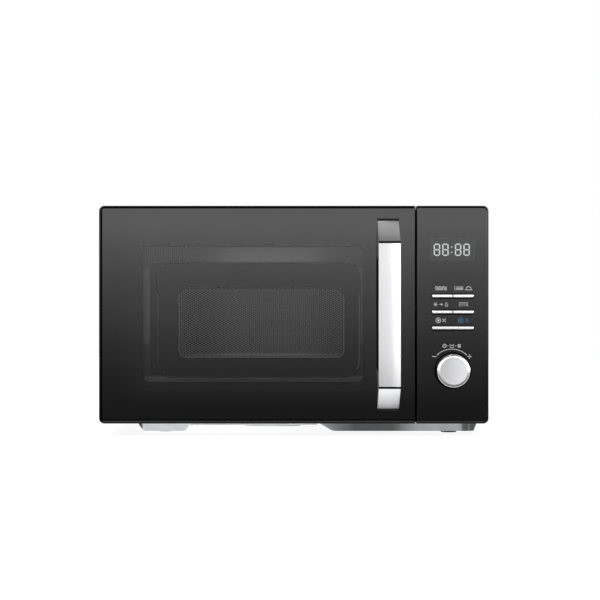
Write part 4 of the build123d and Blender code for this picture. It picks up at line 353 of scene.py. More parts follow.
# Screws, pins and spring: plated steel, slightly mottled. They hold the case, the handle, the door and
# the latch, and the encoder's shaft is made of the same steel.
plain_steel = Finish("plain_steel", (0.56, 0.56, 0.57), metallic=1.0)
plain_steel.tint(plain_steel.noise(400.0, 2.0), (0.46, 0.46, 0.47), (0.66, 0.66, 0.67))
plain_steel.feed("Roughness", plain_steel.noise(250.0) * 0.18 + 0.26)
dress(plain_steel, "case_screws", "handle_screws", "hinge_pins", "latch_spring", "encoder_shaft")

# Black mouldings: the door's frame, the panel's housing, the dial's bezel and the bush for a mains lead
# in the rear panel. They are dull with a fine grain, and glossier on the front rims round the two panes.
black_plastic = Finish("black_moulding", (0.002, 0.002, 0.002), specular_ior_level=0.03, coat_roughness=0.08)
rim_low, rim_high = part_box("door_frame")
rim = black_plastic.between("Y", rim_low.y - 0.0004, rim_low.y + 0.0015)
right_rim = rim * (black_plastic.axis("X") > cad_high[0] - 0.0024)
low_rim = rim * (black_plastic.axis("Z") < rim_low.z + 0.0025)
top_rim = rim * (black_plastic.axis("Z") > rim_high.z - 0.0025)
# A painted highlight lightens the lower front rim of the door's frame, over a random grain.
grain_and_rim_highlight = black_plastic.noise(160.0, 3.0) * 0.04 + low_rim * 0.3
black_plastic.tint(grain_and_rim_highlight, (0.0012, 0.0012, 0.0014), (0.05, 0.05, 0.051))
black_plastic.feed("Coat Weight", rim * 0.3 + right_rim * 0.5 - top_rim * 0.27)
black_plastic.feed("Roughness", black_plastic.noise(90.0) * 0.12 + 0.34)
black_plastic.emboss(black_plastic.noise(2200.0), 0.10, 0.0002)
dress(black_plastic, "cord_gland", "control_housing", "door_frame", "dial_bezel")

# Display: a potted clock module on the circuit board, close behind the control glass.
# A faint painted glow lightens its face, and the seven-segment digits are lit white.
display_low, display_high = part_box("display_module")
display_x = (display_low.x + display_high.x) / 2
display_z = (display_low.z + display_high.z) / 2
display_face = Finish("display_face", (0.03, 0.031, 0.034), emission_strength=0.06)
display_face.tint(display_face.noise(500.0), (0.030, 0.031, 0.034), (0.042, 0.043, 0.047))
display_face.feed("Emission Color", display_face.mix(display_face.noise(40.0), (0.8, 0.82, 0.85, 1.0),
                                                     (1.0, 1.0, 1.0, 1.0)))
display_face.feed("Roughness", display_face.noise(300.0) * 0.1 + 0.4)
dress(display_face, "display_module")


def flat_bar(form, x, z, width, height, y, turn=0.0, ease=0.0):
    """Adds a flat bar that faces the front, centred at x, z, with its corners eased."""
    place = Matrix.Translation((x, y, z)) @ Matrix.Rotation(turn, 4, "Y") @ Matrix.Rotation(pi / 2, 4, "X")
    size = Matrix.Diagonal((width, height, 1.0, 1.0))
    made = bmesh.ops.create_grid(form, x_segments=1, y_segments=1, size=0.5, matrix=place @ size)
    if ease:
        bmesh.ops.bevel(form, geom=made["verts"], offset=ease, segments=2, profile=0.5, affect="VERTICES",
                        material=-1)


def extrude(form, faces, way):
    """Draws faces out along a way, and leaves the body's faces pointing outwards."""
    drawn = bmesh.ops.extrude_face_region(form, geom=faces)
    corners = [item for item in drawn["geom"] if isinstance(item, bmesh.types.BMVert)]
    bmesh.ops.translate(form, verts=corners, vec=way)
    bmesh.ops.recalc_face_normals(form, faces=form.faces)


digit_glow = Finish("display_digits", (0.8, 0.8, 0.8), roughness=0.5, emission_strength=1.5)
digit_glow.feed("Emission Color", digit_glow.mix(digit_glow.noise(700.0), (0.90, 0.93, 0.95, 1.0),
                                                 (1.0, 1.0, 1.0, 1.0)))
digit_size = Vector((0.0072, 0.0138))
segment = 0.0013
corner = segment * 0.3
side_reach = (digit_size.x - segment) / 2
level_reach = (digit_size.y - segment) / 2
side_height = level_reach - segment * 0.7
level_width = digit_size.x - 2 * segment
clock_x = display_x - 0.0007
clock_y = display_low.y
clock_z = display_z - 0.0005
digits = bmesh.new()
for offset in (-0.0168, -0.0072, 0.0072, 0.0168):
    digit_x = clock_x + offset
    for level in (-level_reach, 0, level_reach):
        flat_bar(digits, digit_x, clock_z + level, level_width, segment, clock_y, ease=corner)
    for side in (-side_reach, side_reach):
        for level in (-level_reach / 2, level_reach / 2):
            flat_bar(digits, digit_x + side, clock_z + level, segment, side_height, clock_y, ease=corner)
for level in (-0.0030, 0.0030):
    flat_bar(digits, clock_x, clock_z + level, segment, segment, clock_y, ease=corner)
extrude(digits, digits.faces[:], (0, -0.0002, 0))
piece("clock_digits", digits, digit_glow, "cabinet", "display_face")

# Control glass: a dark toughened pane with ground edges, bonded into the panel's housing. It is almost
# black, with a clearer patch over the display, a painted highlight on its lower edge and a painted shadow
# along the lower side of each bar's slot.
panel_low, panel_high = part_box("control_glass")
panel_front = panel_low.y
panel_bevel = 0.0009


def dark_pane(name):
    """A finish for almost black glass, whose gloss is all in its coat."""
    return Finish(name, (0.003, 0.003, 0.0035), specular_ior_level=0.0, coat_ior=1.8, coat_roughness=0.01)


panel_glass = dark_pane("panel_glass")
display_edge = panel_glass.frame_distance((display_x, display_z), (0.0532, 0.0266), 0.001)
panel_clear = panel_glass.ramp(display_edge, -0.0002, 0.0002, 1.0, 0.0)
panel_ground = panel_glass.axis("Y") < panel_front + panel_bevel
# Painted highlight: the ground lower edge of the pane is lightened, as where it catches the light.
panel_sill = panel_ground * (panel_glass.axis("Z") < panel_low.z + 0.0007)
panel_glass.tint(panel_sill, (0.003, 0.003, 0.0035), (0.07, 0.07, 0.07))
panel_side = panel_ground * (panel_glass.axis("X") > panel_high.x - panel_bevel)
panel_face = (panel_glass.axis("Y") < panel_front + 0.0001) | panel_side | panel_sill
panel_glass.feed("Alpha", panel_face * (1 - panel_clear * 0.38))
rocker_low, rocker_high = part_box("start_rocker")
bar_x = (rocker_low.x + rocker_high.x) / 2
# Painted shadow: under each bar the glass loses most of its gloss, so a dark strip shows there.
slot_shadow = 0.0
for bar_name in ("upper_left_button", "lower_left_button", "start_rocker"):
    bar_low, bar_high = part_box(bar_name)
    edge_centre = (bar_x, (bar_low.z + bar_high.z) / 2 - 0.0011)
    below_bar = panel_glass.frame_distance(edge_centre, (0.0470, 0.0040), 0.0019) < 0.0004
    slot_shadow = below_bar | slot_shadow
panel_gloss = panel_glass.noise(30.0) * 0.02 + 0.38 + panel_clear * 0.10
panel_glass.feed("Coat Weight", panel_gloss * (1 - slot_shadow * 0.9))
dress(panel_glass, "control_glass")

# Push bars and rocking bar: moulded in black with rounded ends, and chromium plated where they show.
# Each stands in a slot of the panel and is held behind it. Two bars meet at a dark line.
chrome = Finish("bright_chrome", (0.86, 0.86, 0.87), specular_ior_level=0.1)
plated = chrome.axis("Y") < panel_front + 0.0004
split_x = (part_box("upper_left_button")[1].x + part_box("upper_right_button")[0].x) / 2
split = (abs(chrome.axis("X") - split_x) < 0.0006) * (chrome.axis("Z") > rocker_high.z)
bright = (chrome.noise(300.0) * 0.08 + 0.90) * plated * (1 - split * 0.75)
chrome.tint(bright, (0.002, 0.002, 0.002), (0.80, 0.80, 0.81))
chrome.feed("Metallic", plated)
chrome.feed("Roughness", chrome.noise(900.0) * 0.05 + 0.16 + (1 - plated) * 0.4)
dress(chrome, "upper_left_button", "upper_right_button", "lower_left_button", "lower_right_button",
      "start_rocker")

# Dial: a turned aluminium cap with a slightly dished face, whose hub grips the encoder's shaft. The face
# is brushed satin under a painted reflection, darker at the left and lighter at the right, and the rim is
# cut bright at a shallow angle. The handle has the same finish, without the rim and the painted reflection.
dial_low, dial_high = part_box("dial")
dial_x = (dial_low.x + dial_high.x) / 2
dial_z = (dial_low.z + dial_high.z) / 2
dial_reach = (dial_high.x - dial_low.x) / 2
dial_length = dial_high.y - dial_low.y
dial_wall = 0.0025
cut_reach = dial_reach - 0.0030
cap_back = dial_length - 0.004
hub_reach = 0.006
bore_reach = 0.0031
satin = Finish("satin_silver", (0.70, 0.70, 0.71), metallic=1.0)
off_dial = satin.axis("X") < dial_low.x - 0.01
# Painted reflection: the dial's face darkens towards its left and lightens towards its right.
painted_reflection = satin.ramp(satin.axis("X"), dial_low.x + 0.003, dial_high.x - 0.003, 0.0, 0.85)
from_axis_x = satin.axis("X") - dial_x
from_axis_z = satin.axis("Z") - dial_z
from_axis = (from_axis_x * from_axis_x + from_axis_z * from_axis_z).math("SQRT")
cut_rim = (from_axis > cut_reach) * (1 - off_dial)
lightness = satin.noise(220.0, 2.0) * 0.2 + off_dial * 0.71 + painted_reflection
silver = satin.mix(lightness, (0.52, 0.52, 0.53, 1.0), (0.80, 0.80, 0.81, 1.0))
satin.feed("Base Color", satin.mix(cut_rim, silver, (0.95, 0.95, 0.95, 1.0)))
satin.feed("Roughness", satin.noise(500.0, 3.0) * 0.08 + 0.26 - cut_rim * 0.14)
satin.emboss(satin.noise(1500.0, 2.0, satin.stretched((1.0, 1.0, 0.06))), 0.05, 0.0001)
dial_mesh = spun(
    [
        (0.0, dial_length - 0.00005), (0.006, dial_length - 0.00004), (0.011, dial_length - 0.00002),
        (dial_reach - 0.0034, dial_length - 0.00001), (cut_reach, dial_length),
        (dial_reach - 0.0029, dial_length - 0.00001), (dial_reach - 0.0019, dial_length - 0.00008),
        (dial_reach - 0.0015, dial_length - 0.00012), (dial_reach - 0.0006, dial_length - 0.00027),
        (dial_reach - 0.0004, dial_length - 0.00031), (dial_reach - 0.0001, dial_length - 0.0006),
        (dial_reach, dial_length - 0.0010), (dial_reach, 0.0004),
        (dial_reach - 0.0004, 0.0), (dial_reach - dial_wall, 0.0), (dial_reach - dial_wall, cap_back),
        (hub_reach, cap_back), (hub_reach, 0.0), (bore_reach, 0.0), (bore_reach, cap_back), (0.0, cap_back),
    ],
    (dial_x, dial_high.y, dial_z), (0, -1, 0), 96,
)
piece("turned_dial", dial_mesh, satin, "dial", "satin_silver", "dial")

# Panel marks: white and blue ink screened on the control glass.
# A sign stands over each bar, and three small signs and a double arrow with minus and plus over the dial.
ink_depth = (0, -0.00006, 0)
line_width = 0.0006
fine_width = line_width * 0.8


def stroke(form, points, width=line_width):
    """Adds a flat ribbon on the glass along points given as (x, z)."""
    rows = []
    for index, (x, z) in enumerate(points):
        before = points[max(index - 1, 0)]
        after = points[min(index + 1, len(points) - 1)]
        way = Vector((after[0] - before[0], after[1] - before[1])).normalized() * (width / 2)
        left = form.verts.new((x - way.y, panel_front, z + way.x))
        right = form.verts.new((x + way.y, panel_front, z - way.x))
        rows.append((left, right))
    for first, second in zip(rows, rows[1:]):
        form.faces.new((first[0], first[1], second[1], second[0]))


def arc(x, z, radius, start, end, steps=24):
    """Points on an arc about x, z, from one angle to another in degrees."""
    angles = [radians(start + (end - start) * step / steps) for step in range(steps + 1)]
    return [(x + radius * cos(angle), z + radius * sin(angle)) for angle in angles]


white_ink = Finish("white_ink", (0.7, 0.7, 0.7), roughness=0.5, specular_ior_level=0.2)
white_ink.tint(white_ink.noise(900.0), (0.62, 0.62, 0.63), (0.78, 0.78, 0.78))
blue_ink = Finish("blue_ink", (0.05, 0.16, 0.36), roughness=0.5, specular_ior_level=0.2)
blue_ink.tint(blue_ink.noise(900.0), (0.06, 0.18, 0.33), (0.09, 0.24, 0.41))
marks = bmesh.new()
left_x, right_x = display_x - 0.0133, display_x + 0.0121
upper_z, lower_z, stop_z = 0.1668, 0.1486, 0.1306
for level in (-0.0015, 0.0, 0.0015):
    wave = [(left_x + 0.0005 * step - 0.0065, upper_z + level + 0.0005 * sin(step * 0.75))
            for step in range(27)]
    stroke(marks, wave)
    flat_bar(marks, right_x - 0.0098, upper_z + level, 0.0008, 0.0008, panel_front)
    flat_bar(marks, right_x - 0.0044, upper_z + level, 0.0082, line_width, panel_front)
cover_x = right_x + 0.0058
stroke(marks, arc(cover_x, upper_z - 0.0010, 0.0028, 0, 180))
flat_bar(marks, cover_x, upper_z - 0.0017, 0.0084, line_width, panel_front)
flat_bar(marks, cover_x, upper_z + 0.0022, 0.0010, 0.0008, panel_front)
for turn in (0, 60, 120):
    flat_bar(marks, left_x - 0.0062, lower_z, 0.0046, line_width, panel_front, radians(turn))
stroke(marks, [(left_x - 0.0020, lower_z), (left_x + 0.0014, lower_z)])
stroke(marks, [(left_x + 0.0004, lower_z + 0.0013), (left_x + 0.0017, lower_z),
               (left_x + 0.0004, lower_z - 0.0013)])
drop_x = left_x + 0.0062
stroke(marks, arc(drop_x, lower_z - 0.0006, 0.0015, 150, 390))
stroke(marks, [(drop_x - 0.0013, lower_z + 0.0001), (drop_x, lower_z + 0.0024),
               (drop_x + 0.0013, lower_z + 0.0001)])
flat_bar(marks, right_x, lower_z + 0.0018, 0.0108, line_width, panel_front)
flames = [(right_x - 0.0052 + 0.0013 * step, lower_z + (0.0007 if step % 2 else -0.0018))
          for step in range(9)]
stroke(marks, flames)
stroke(marks, arc(left_x - 0.0030, stop_z, 0.0028, 0, 360, 32))
flat_bar(marks, left_x - 0.0030, stop_z, 0.0024, 0.0024, panel_front)
for turn in (45, 135):
    flat_bar(marks, left_x + 0.0036, stop_z, 0.0056, line_width, panel_front, radians(turn))
option_z = 0.1018
sign_x = dial_x - 0.0010
timer_x = sign_x - 0.0083
stroke(marks, arc(timer_x, option_z, 0.0019, 0, 360, 28))
stroke(marks, [(timer_x, option_z + 0.0012), (timer_x, option_z), (timer_x + 0.0010, option_z)], fine_width)
stroke(marks, [(sign_x - 0.0019, option_z + 0.0018), (sign_x - 0.0019, option_z - 0.0018),
               (sign_x + 0.0019, option_z - 0.0018), (sign_x + 0.0019, option_z + 0.0018)])
stroke(marks, arc(sign_x, option_z + 0.0012, 0.0011, 180, 360, 12), fine_width)
for level in (-0.0015, -0.0005, 0.0005, 0.0015):
    flat_bar(marks, sign_x + 0.0083, option_z + level, 0.0036, line_width, panel_front)
for dash in (-0.0044, 0.0044):
    flat_bar(marks, sign_x + dash, option_z, 0.0013, line_width, panel_front)
turn_radius = 0.0242
stroke(marks, arc(sign_x, dial_z, turn_radius, 50, 130, 40))
for side, end in ((1, 50), (-1, 130)):
    tip = arc(sign_x, dial_z, turn_radius, end - 5 * side, end - 5 * side, 1)[0]
    inner = arc(sign_x, dial_z, turn_radius - 0.0010, end + side, end + side, 1)[0]
    outer = arc(sign_x, dial_z, turn_radius + 0.0010, end + side, end + side, 1)[0]
    corners = [marks.verts.new((x, panel_front, z)) for x, z in (tip, inner, outer)]
    marks.faces.new(corners if side < 0 else corners[::-1])
change_reach, change_z = 0.0198, 0.0898
change_size, change_width = 0.0048, 0.0008
for side in (-1, 1):
    flat_bar(marks, sign_x + side * change_reach, change_z, change_size, change_width, panel_front)
flat_bar(marks, sign_x + change_reach, change_z, change_width, change_size, panel_front)
extrude(marks, marks.faces[:], ink_depth)
piece("panel_marks", marks, white_ink, "cabinet", "white_moulding")

start_mark = bmesh.new()
stroke(start_mark, arc(right_x - 0.0030, stop_z, 0.0028, 0, 360, 32))
start_mark.faces.new([start_mark.verts.new((right_x - 0.0030 + x, panel_front, stop_z + z))
                      for x, z in ((-0.0009, 0.0014), (-0.0009, -0.0014), (0.0016, 0.0))])
for step in (0.0018, 0.0040):
    stroke(start_mark, [(right_x + step, stop_z + 0.0021), (right_x + step + 0.0019, stop_z),
                        (right_x + step, stop_z - 0.0021)])
extrude(start_mark, start_mark.faces[:], ink_depth)
piece("start_mark", start_mark, blue_ink, "cabinet", "white_moulding")

# Door screen: one pressed steel sheet in satin black paint, held in the back of the door's frame.
# A sloped, perforated band rises to a plain land close to the glass, and the sight window is a
# perforated dish inside it. The folded edge behind is the microwave choke.
screen_low, screen_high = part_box("door_screen")
sheet = 0.001
land_y = screen_low.y
border_y = land_y + 0.006
sight_y = land_y + 0.0045
choke_centre = ((screen_low.x + screen_high.x) / 2, (screen_low.z + screen_high.z) / 2)
choke_size = (screen_high.x - screen_low.x, screen_high.z - screen_low.z)
choke = (choke_centre, choke_size, 0.002)
band = ((-0.0463, 0.1370), (0.253, 0.156), 0.008)
land_centre, land_size = (-0.0399, 0.1312), (0.228, 0.1286)
land = (land_centre, land_size, 0.018)
land_top = land_centre[1] + land_size[1] / 2
land_foot = land_centre[1] - land_size[1] / 2
sight_centre = (-0.0367, 0.1280)
sight = (sight_centre, (0.1862, 0.078), 0.008)
dish_size = (0.1772, 0.069)


def rounded_ring(form, centre, size, radius, y):
    """Adds a rounded rectangle that faces the front and returns its face."""
    place = Matrix.Translation((centre[0], y, centre[1])) @ Matrix.Rotation(pi / 2, 4, "X")
    scale = Matrix.Diagonal((size[0], size[1], 1.0, 1.0))
    old = set(form.faces)
    made = bmesh.ops.create_grid(form, x_segments=1, y_segments=1, size=0.5, matrix=place @ scale)
    bmesh.ops.bevel(form, geom=made["verts"], offset=radius, segments=8, profile=0.5, affect="VERTICES",
                    material=-1)
    return (set(form.faces) - old).pop()


screen_mesh = bmesh.new()
rings = [
    rounded_ring(screen_mesh, *choke, screen_high.y),
    rounded_ring(screen_mesh, *choke, border_y),
    rounded_ring(screen_mesh, *band, border_y),
    rounded_ring(screen_mesh, *land, land_y),
    rounded_ring(screen_mesh, *sight, land_y),
    rounded_ring(screen_mesh, sight_centre, dish_size, 0.00575, sight_y),
]
loops = [list(ring.edges) for ring in rings]
bmesh.ops.delete(screen_mesh, geom=rings[:-1], context="FACES_ONLY")
for outer_loop, inner_loop in zip(loops, loops[1:]):
    bmesh.ops.bridge_loops(screen_mesh, edges=outer_loop + inner_loop)
folds = [edge for loop in loops[1:] for edge in loop]
bmesh.ops.bevel(screen_mesh, geom=folds, offset=0.0009, segments=3, profile=0.5, affect="EDGES", material=-1)
bmesh.ops.recalc_face_normals(screen_mesh, faces=screen_mesh.faces)
if max(screen_mesh.faces, key=lambda face: face.calc_area()).normal.y > 0:
    bmesh.ops.reverse_faces(screen_mesh, faces=screen_mesh.faces)
bmesh.ops.solidify(screen_mesh, geom=screen_mesh.faces[:], thickness=sheet)

screen_paint = Finish("screen_paint", (0.006, 0.006, 0.007), specular_ior_level=0.15)
screen_paint.feed("Roughness", screen_paint.noise(200.0) * 0.06 + 0.20)
pitch = 0.00264
column_step = pitch * 0.866
hole_radius = 0.00086
middle_column = -0.0266
column = (screen_paint.axis("X") - middle_column) / column_step + 0.5
row = screen_paint.axis("Z") / pitch + column.math("FLOOR") * 0.5
from_centre_x = (column.math("FRACT") - 0.5) * column_step
from_centre_z = (row.math("FRACT") - 0.5) * pitch
from_centre = (from_centre_x * from_centre_x + from_centre_z * from_centre_z).math("SQRT")
solid = from_centre > hole_radius
from_band = screen_paint.frame_distance(*band)
from_land = screen_paint.frame_distance(*land)
from_sight = screen_paint.frame_distance(*sight)
in_dish = from_sight < -0.0014
punched = ((from_band < -0.0016) * (from_land > 0.0012)) | in_dish
screen_paint.feed("Alpha", solid | (1 - punched))
speckle = screen_paint.noise(300.0)
# Painted highlights: the paint is lightened where the band's slopes, the dish and the folds would catch the
# light, most in the middle; only the speckle is random.
slope_above = screen_paint.axis("Z") > land_top
lit_x = -0.027
from_middle = abs(screen_paint.axis("X") - lit_x)
mid_light = screen_paint.ramp(from_middle, 0.03, 0.085, 1.0, 0.2)
dish_wall = in_dish * (screen_paint.axis("Z") < sight_centre[1] - dish_size[1] / 2)
slope_below = punched * (screen_paint.axis("Z") < land_foot)
side_strip = punched * (from_band > -0.0100) * screen_paint.between("Z", 0.105, 0.189)
painted_highlights = in_dish * mid_light * 0.26 + dish_wall * mid_light * 0.35 + slope_below * 0.62 + side_strip * 0.43
painted_highlights = painted_highlights + punched * slope_above * (mid_light * 0.75 - 0.08)
fold_highlights = (abs(from_land) < 0.0006) | ((abs(from_sight) < 0.0005) * 0.6)
fold_highlights = fold_highlights * screen_paint.between("Z", 0.075, 0.160)
speckle_and_highlights = speckle * 0.02 + painted_highlights * (speckle * 0.4 + 0.8) + fold_highlights
screen_paint.tint(speckle_and_highlights, (0.004, 0.004, 0.005), (0.26, 0.26, 0.265))
piece("pressed_screen", screen_mesh, screen_paint, "door", "screen_paint", "door_screen")

# Inner pane: a clear sheet bonded to the inside of the choke's cover.
# It is faintly hazy from wiping.
pane = Finish("clear_pane", (0.9, 0.91, 0.91), ior=1.45, alpha=0.12)
pane.tint(pane.noise(25.0), (0.5, 0.5, 0.5), (0.6, 0.6, 0.6))
pane.feed("Roughness", pane.noise(40.0) * 0.03 + 0.05)
dress(pane, "door_inner_pane")

# Door glass: the same dark pane as the panel's, bonded into the door's frame.
# It is printed black behind, and clearer over the sight window and over the band round the land.
door_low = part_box("door_glass")[0]
door_front = door_low.y
door_glass = dark_pane("front_glass")
past_band = door_glass.frame_distance(*band)
past_land = door_glass.frame_distance(*land)
past_sight = door_glass.frame_distance(*sight)
above = door_glass.axis("Z") > land_top
margin = (past_band < 0.0012) * (past_land > -0.0008) * ((past_band > -0.0105) | above)
window = margin | (past_sight < 0.0012) | (abs(past_land) < 0.0008)
# Painted highlight: the ground lower edge of the pane is lightened, as where it catches the light.
sill = (door_glass.axis("Y") < door_front + 0.0014) * (door_glass.axis("Z") < door_low.z + 0.0011)
door_glass.tint(sill, (0.003, 0.003, 0.0035), (0.12, 0.12, 0.12))
face = (door_glass.axis("Y") < door_front + 0.0001) | sill
door_glass.feed("Alpha", face * (1 - window * 0.6))
ground = (door_glass.axis("X") < door_low.x + 0.0018) | (door_glass.axis("Z") < door_low.z + 0.0028)
door_glass.feed("Coat Weight", (1 - ground) * (door_glass.noise(30.0) * 0.02 + 0.39 + window * 0.6))
dress(door_glass, "door_glass")

# Handle bridge: an aluminium casting with two posts, gently hollowed outer ends and a spine that carries
# the grip. It is bolted through the glass, and finished like the dial.
grip_low, grip_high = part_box("handle_grip")
bridge_low, bridge_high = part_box("handle_bridge")
bridge_mid = (bridge_low.z + bridge_high.z) / 2
post_reach = (bridge_high.z - bridge_low.z) / 2
joint = 0.0026
bend_reach = (grip_high.z - grip_low.z) / 2 + joint
finger_reach = 0.067
spine_back = grip_high.y + 0.005
post_end = Vector((bridge_high.y, post_reach))
bend_end = Vector((bridge_low.y, bend_reach))
slope = bend_end - post_end
inward = Vector((-slope.y, slope.x)).normalized()
upper = [(spine_back, finger_reach - 0.006), (bridge_high.y, finger_reach)]
lower = upper[:]
for step in range(11):
    along = step / 10
    straight = post_end + slope * along
    upper.append(tuple(straight + inward * (0.0060 * along * (1 - along))))
    lower.append(tuple(straight + inward * (0.0037 * along * (1 - along) ** 2)))
upper.append((grip_high.y, bend_reach))
lower.append((grip_high.y, bend_reach))
outline = upper + [(y, -z) for y, z in reversed(lower)]


def bar_from_side(outline, x):
    """A bar as wide as x, from its outline seen from the side as (y, z), with eased edges."""
    form = bmesh.new()
    side = form.faces.new([form.verts.new((x[0], y, z)) for y, z in outline])
    extrude(form, [side], (x[1] - x[0], 0, 0))
    sides = [face for face in form.faces if len(face.verts) > 4]
    bmesh.ops.bevel(form, geom=[edge for face in sides for edge in face.edges], offset=0.0005, segments=2,
                    profile=0.5, affect="EDGES", material=-1)
    return form


bridge_mesh = bar_from_side([(y, bridge_mid + z) for y, z in outline], (bridge_low.x, bridge_high.x))
piece("cast_bridge", bridge_mesh, satin, "door", "satin_silver", "handle_bridge")

# Handle grip: an extruded aluminium bar whose front falls away a little towards both ends.
# It is bonded to the face of the bridge and finished like it.
grip_reach = (grip_high.z - grip_low.z) / 2
grip_side = [(grip_high.y, bridge_mid - grip_reach), (grip_high.y, bridge_mid + grip_reach)]
for step in range(20, -21, -1):
    fall = max(abs(step) / 10 - 1, 0)
    grip_side.append((grip_low.y + 0.0004 * fall * fall, bridge_mid + grip_reach * step / 20))
grip_mesh = bar_from_side(grip_side, (grip_low.x, grip_high.x))
piece("crowned_grip", grip_mesh, satin, "door", "satin_silver", "handle_grip")

# Grip seams: black strips that fill the two joints between the handle's grip and its bridge.
# They are cut from the pads' rubber, a little narrower than the grip.
seams = bmesh.new()
seam_size = Matrix.Diagonal((grip_high.x - grip_low.x - 0.0004, 0.005, joint - 0.0002, 1.0))
for seam_z in (grip_low.z - joint / 2, grip_high.z + joint / 2):
    seam_centre = Vector(((grip_low.x + grip_high.x) / 2, grip_low.y + 0.0045, seam_z))
    bmesh.ops.create_cube(seams, size=1.0, matrix=Matrix.Translation(seam_centre) @ seam_size)
bmesh.ops.bevel(seams, geom=seams.edges[:], offset=0.0002, segments=2, profile=0.5, affect="EDGES",
                material=-1)
piece("grip_seams", seams, rubber, "door", "black_rubber")

# Studio: a pale floor, a white backdrop, soft lights above and at the left, and the camera straight
# in front of the door. Only mirrored rays see the tones laid over the floor and the sky, which stand
# for the room that the glass and the metal reflect.
camera_place = Vector((0.0070, -2.055, 0.1536))


def ray(shading, kind):
    """One for rays of that kind, and zero for others."""
    return shading.node("LightPath", {}, {}, out=f"Is {kind} Ray")


def side_glow(shading, way):
    """A faint glow between two ways to the side, which floor and sky have in common."""
    return shading.ramp(way, -0.112, -0.085, 0.0, 0.2) - shading.ramp(way, 0.05, 0.085, 0.0, 0.14)


floor_mesh = bmesh.new()
bmesh.ops.create_circle(floor_mesh, cap_ends=True, segments=64, radius=2.5)
floor_finish = bpy.data.materials.new("studio_floor")
floor_finish.use_nodes = True
floor_look = Shading(floor_finish.node_tree)
floor_across = floor_look.axis("X")
floor_ahead = door_front - floor_look.axis("Y")
# Painted shade for mirrored rays: the floor is darker under the oven's middle and right side, and at the
# foot of the door.
floor_under = floor_look.ramp(floor_across, -0.06, 0.10, 1.12, 0.07)
floor_under = floor_under + floor_look.ramp(floor_across, 0.10, 0.155, 0.0, 0.57)
floor_under = floor_under * floor_look.ramp(floor_across, -0.183, -0.179, 0.05, 1.0)
floor_under = floor_under * floor_look.ramp(floor_across, 0.193, 0.197, 1.0, 0.06)
floor_under = floor_under + floor_look.ramp(floor_across, 0.201, 0.203, 0.0, 0.3)
floor_under = floor_under - floor_look.ramp(floor_across, 0.2045, 0.2065, 0.0, 0.3)
floor_edge = floor_look.ramp(floor_ahead, -0.015, 0.009, 0.62, 1.38)
floor_front = floor_look.ramp(floor_ahead, -0.035, -0.018, floor_under, floor_edge)
floor_front = floor_look.ramp(floor_ahead, -0.36, -0.32, 0.55, floor_front)
floor_near = floor_look.ramp(floor_ahead, 0.03, 0.14, floor_front, 0.14)
floor_way = (floor_across - camera_place.x) / (floor_ahead + (door_front - camera_place.y))
floor_glow = side_glow(floor_look, floor_way) + floor_look.ramp(floor_way, -0.35, -0.18, 0.8, 0.0)
floor_far = (floor_ahead * 0.15 + 0.17).math("MINIMUM", 0.65)
floor_far = floor_far + floor_glow * floor_look.ramp(floor_ahead, 0.5, 1.2)
floor_peak = 2.0
floor_tone = floor_near.math("MAXIMUM", floor_far) / floor_peak
floor_dark = floor_look.node("Emission", {}, {"Strength": 0.0})
floor_light = floor_look.node("Emission", {}, {"Strength": floor_peak})
floor_shine = floor_look.node("MixShader", {}, {0: floor_tone, 1: floor_dark, 2: floor_light})
floor_paint = floor_look.node("BsdfDiffuse", {}, {"Color": (0.75, 0.75, 0.75, 1.0)})
floor_shade = floor_look.node("BsdfDiffuse", {}, {"Color": (0.30, 0.30, 0.30, 1.0)})
floor_lift = floor_look.node("Emission", {}, {"Strength": 0.88})
floor_white = floor_look.node("AddShader", {}, {0: floor_shade, 1: floor_lift})
floor_mirrored = {0: ray(floor_look, "Glossy"), 1: floor_paint, 2: floor_shine}
floor_bounced = floor_look.node("MixShader", {}, floor_mirrored)
floor_direct = {0: ray(floor_look, "Camera"), 1: floor_bounced, 2: floor_white}
floor_look.output("Material", floor_look.node("MixShader", {}, floor_direct))
floor_data = bpy.data.meshes.new("studio_floor")
floor_mesh.to_mesh(floor_data)
floor_mesh.free()
floor_data.materials.append(floor_finish)
floor = bpy.data.objects.new("studio_floor", floor_data)
floor.location.z = -0.0002
bpy.context.scene.collection.objects.link(floor)

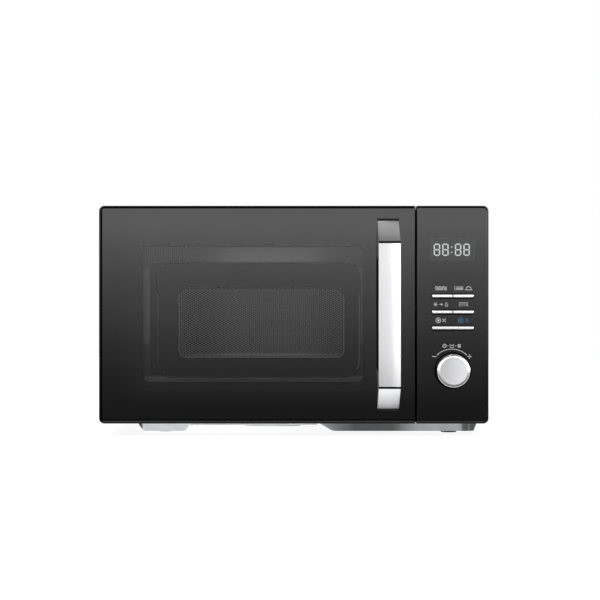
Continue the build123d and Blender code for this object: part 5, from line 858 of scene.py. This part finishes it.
world = bpy.data.worlds.new("studio")
world.use_nodes = True
bpy.context.scene.world = world
sky = Shading(world.node_tree, "Generated")
across = sky.axis("X")
depth = sky.axis("Y")
height = sky.axis("Z")
card = ((height * 17.5).math("EXPONENT") * 1.43 - 0.12).math("MINIMUM", 3.0).math("MAXIMUM", 0.2)
card = card * sky.ramp(height, 0.06, 0.17, 1.0, 0.070)
card = card * sky.ramp(across, 0.10, 0.36, 1.0, 2.1)
card = card * sky.ramp(depth, 0.20, 0.70, 1.0, 0.85) + sky.ramp(height, 0.75, 1.0, 0.0, 0.23)
card = card + side_glow(sky, across) * sky.ramp(height, 0.03, 0.06, 1.0, 0.0) * (depth < -0.9)
card = card - sky.ramp(height, -0.030, -0.006, 0.11, 0.0)
glossy = ray(sky, "Glossy")
white = ray(sky, "Camera") | ray(sky, "Transmission")
strength = glossy * card + (1 - glossy) * 0.75
strength = white + (1 - white) * strength
sky.output("World", sky.node("Background", {}, {"Color": (1.0, 1.0, 1.0, 1.0), "Strength": strength}))


def softbox(name, place, target, size, power):
    """Adds a rectangular light that only lights and is mirrored, and isn't seen itself."""
    data = bpy.data.lights.new(name, "AREA")
    data.shape = "RECTANGLE"
    data.size, data.size_y = size
    data.energy = power
    made = bpy.data.objects.new(name, data)
    made.location = place
    made.rotation_euler = (Vector(target) - Vector(place)).to_track_quat("-Z", "Y").to_euler()
    made.visible_camera = False
    bpy.context.scene.collection.objects.link(made)


softbox("key_softbox", (-1.1, -1.2, 1.7), (0, 0, 0.1), (1.2, 0.8), 10.0)
softbox("upper_softbox", (-0.066, -2.00, 1.41), (-0.04, -0.15, 0.2), (0.26, 0.34), 2.6)
softbox("left_softbox", (-1.26, -1.82, 0.128), (-0.16, -0.15, 0.14), (0.30, 0.18), 1.2)
softbox("top_softbox", (-0.06, -0.42, 1.6), (-0.04, -0.15, 0.1), (0.28, 0.14), 1.2)
softbox("oven_softbox", (-0.03, -0.06, 0.215), (-0.03, 0.17, 0.12), (0.12, 0.02), 0.03)

camera_data = bpy.data.cameras.new("front_camera")
camera_data.sensor_width = 36.0
camera_data.lens = 100.95
camera_data.clip_end = 50.0
camera = bpy.data.objects.new("front_camera", camera_data)
camera.location = camera_place
camera.rotation_euler = (pi / 2, 0, 0)
bpy.context.scene.collection.objects.link(camera)
bpy.context.scene.camera = camera
bpy.context.scene.view_settings.view_transform = "Standard"
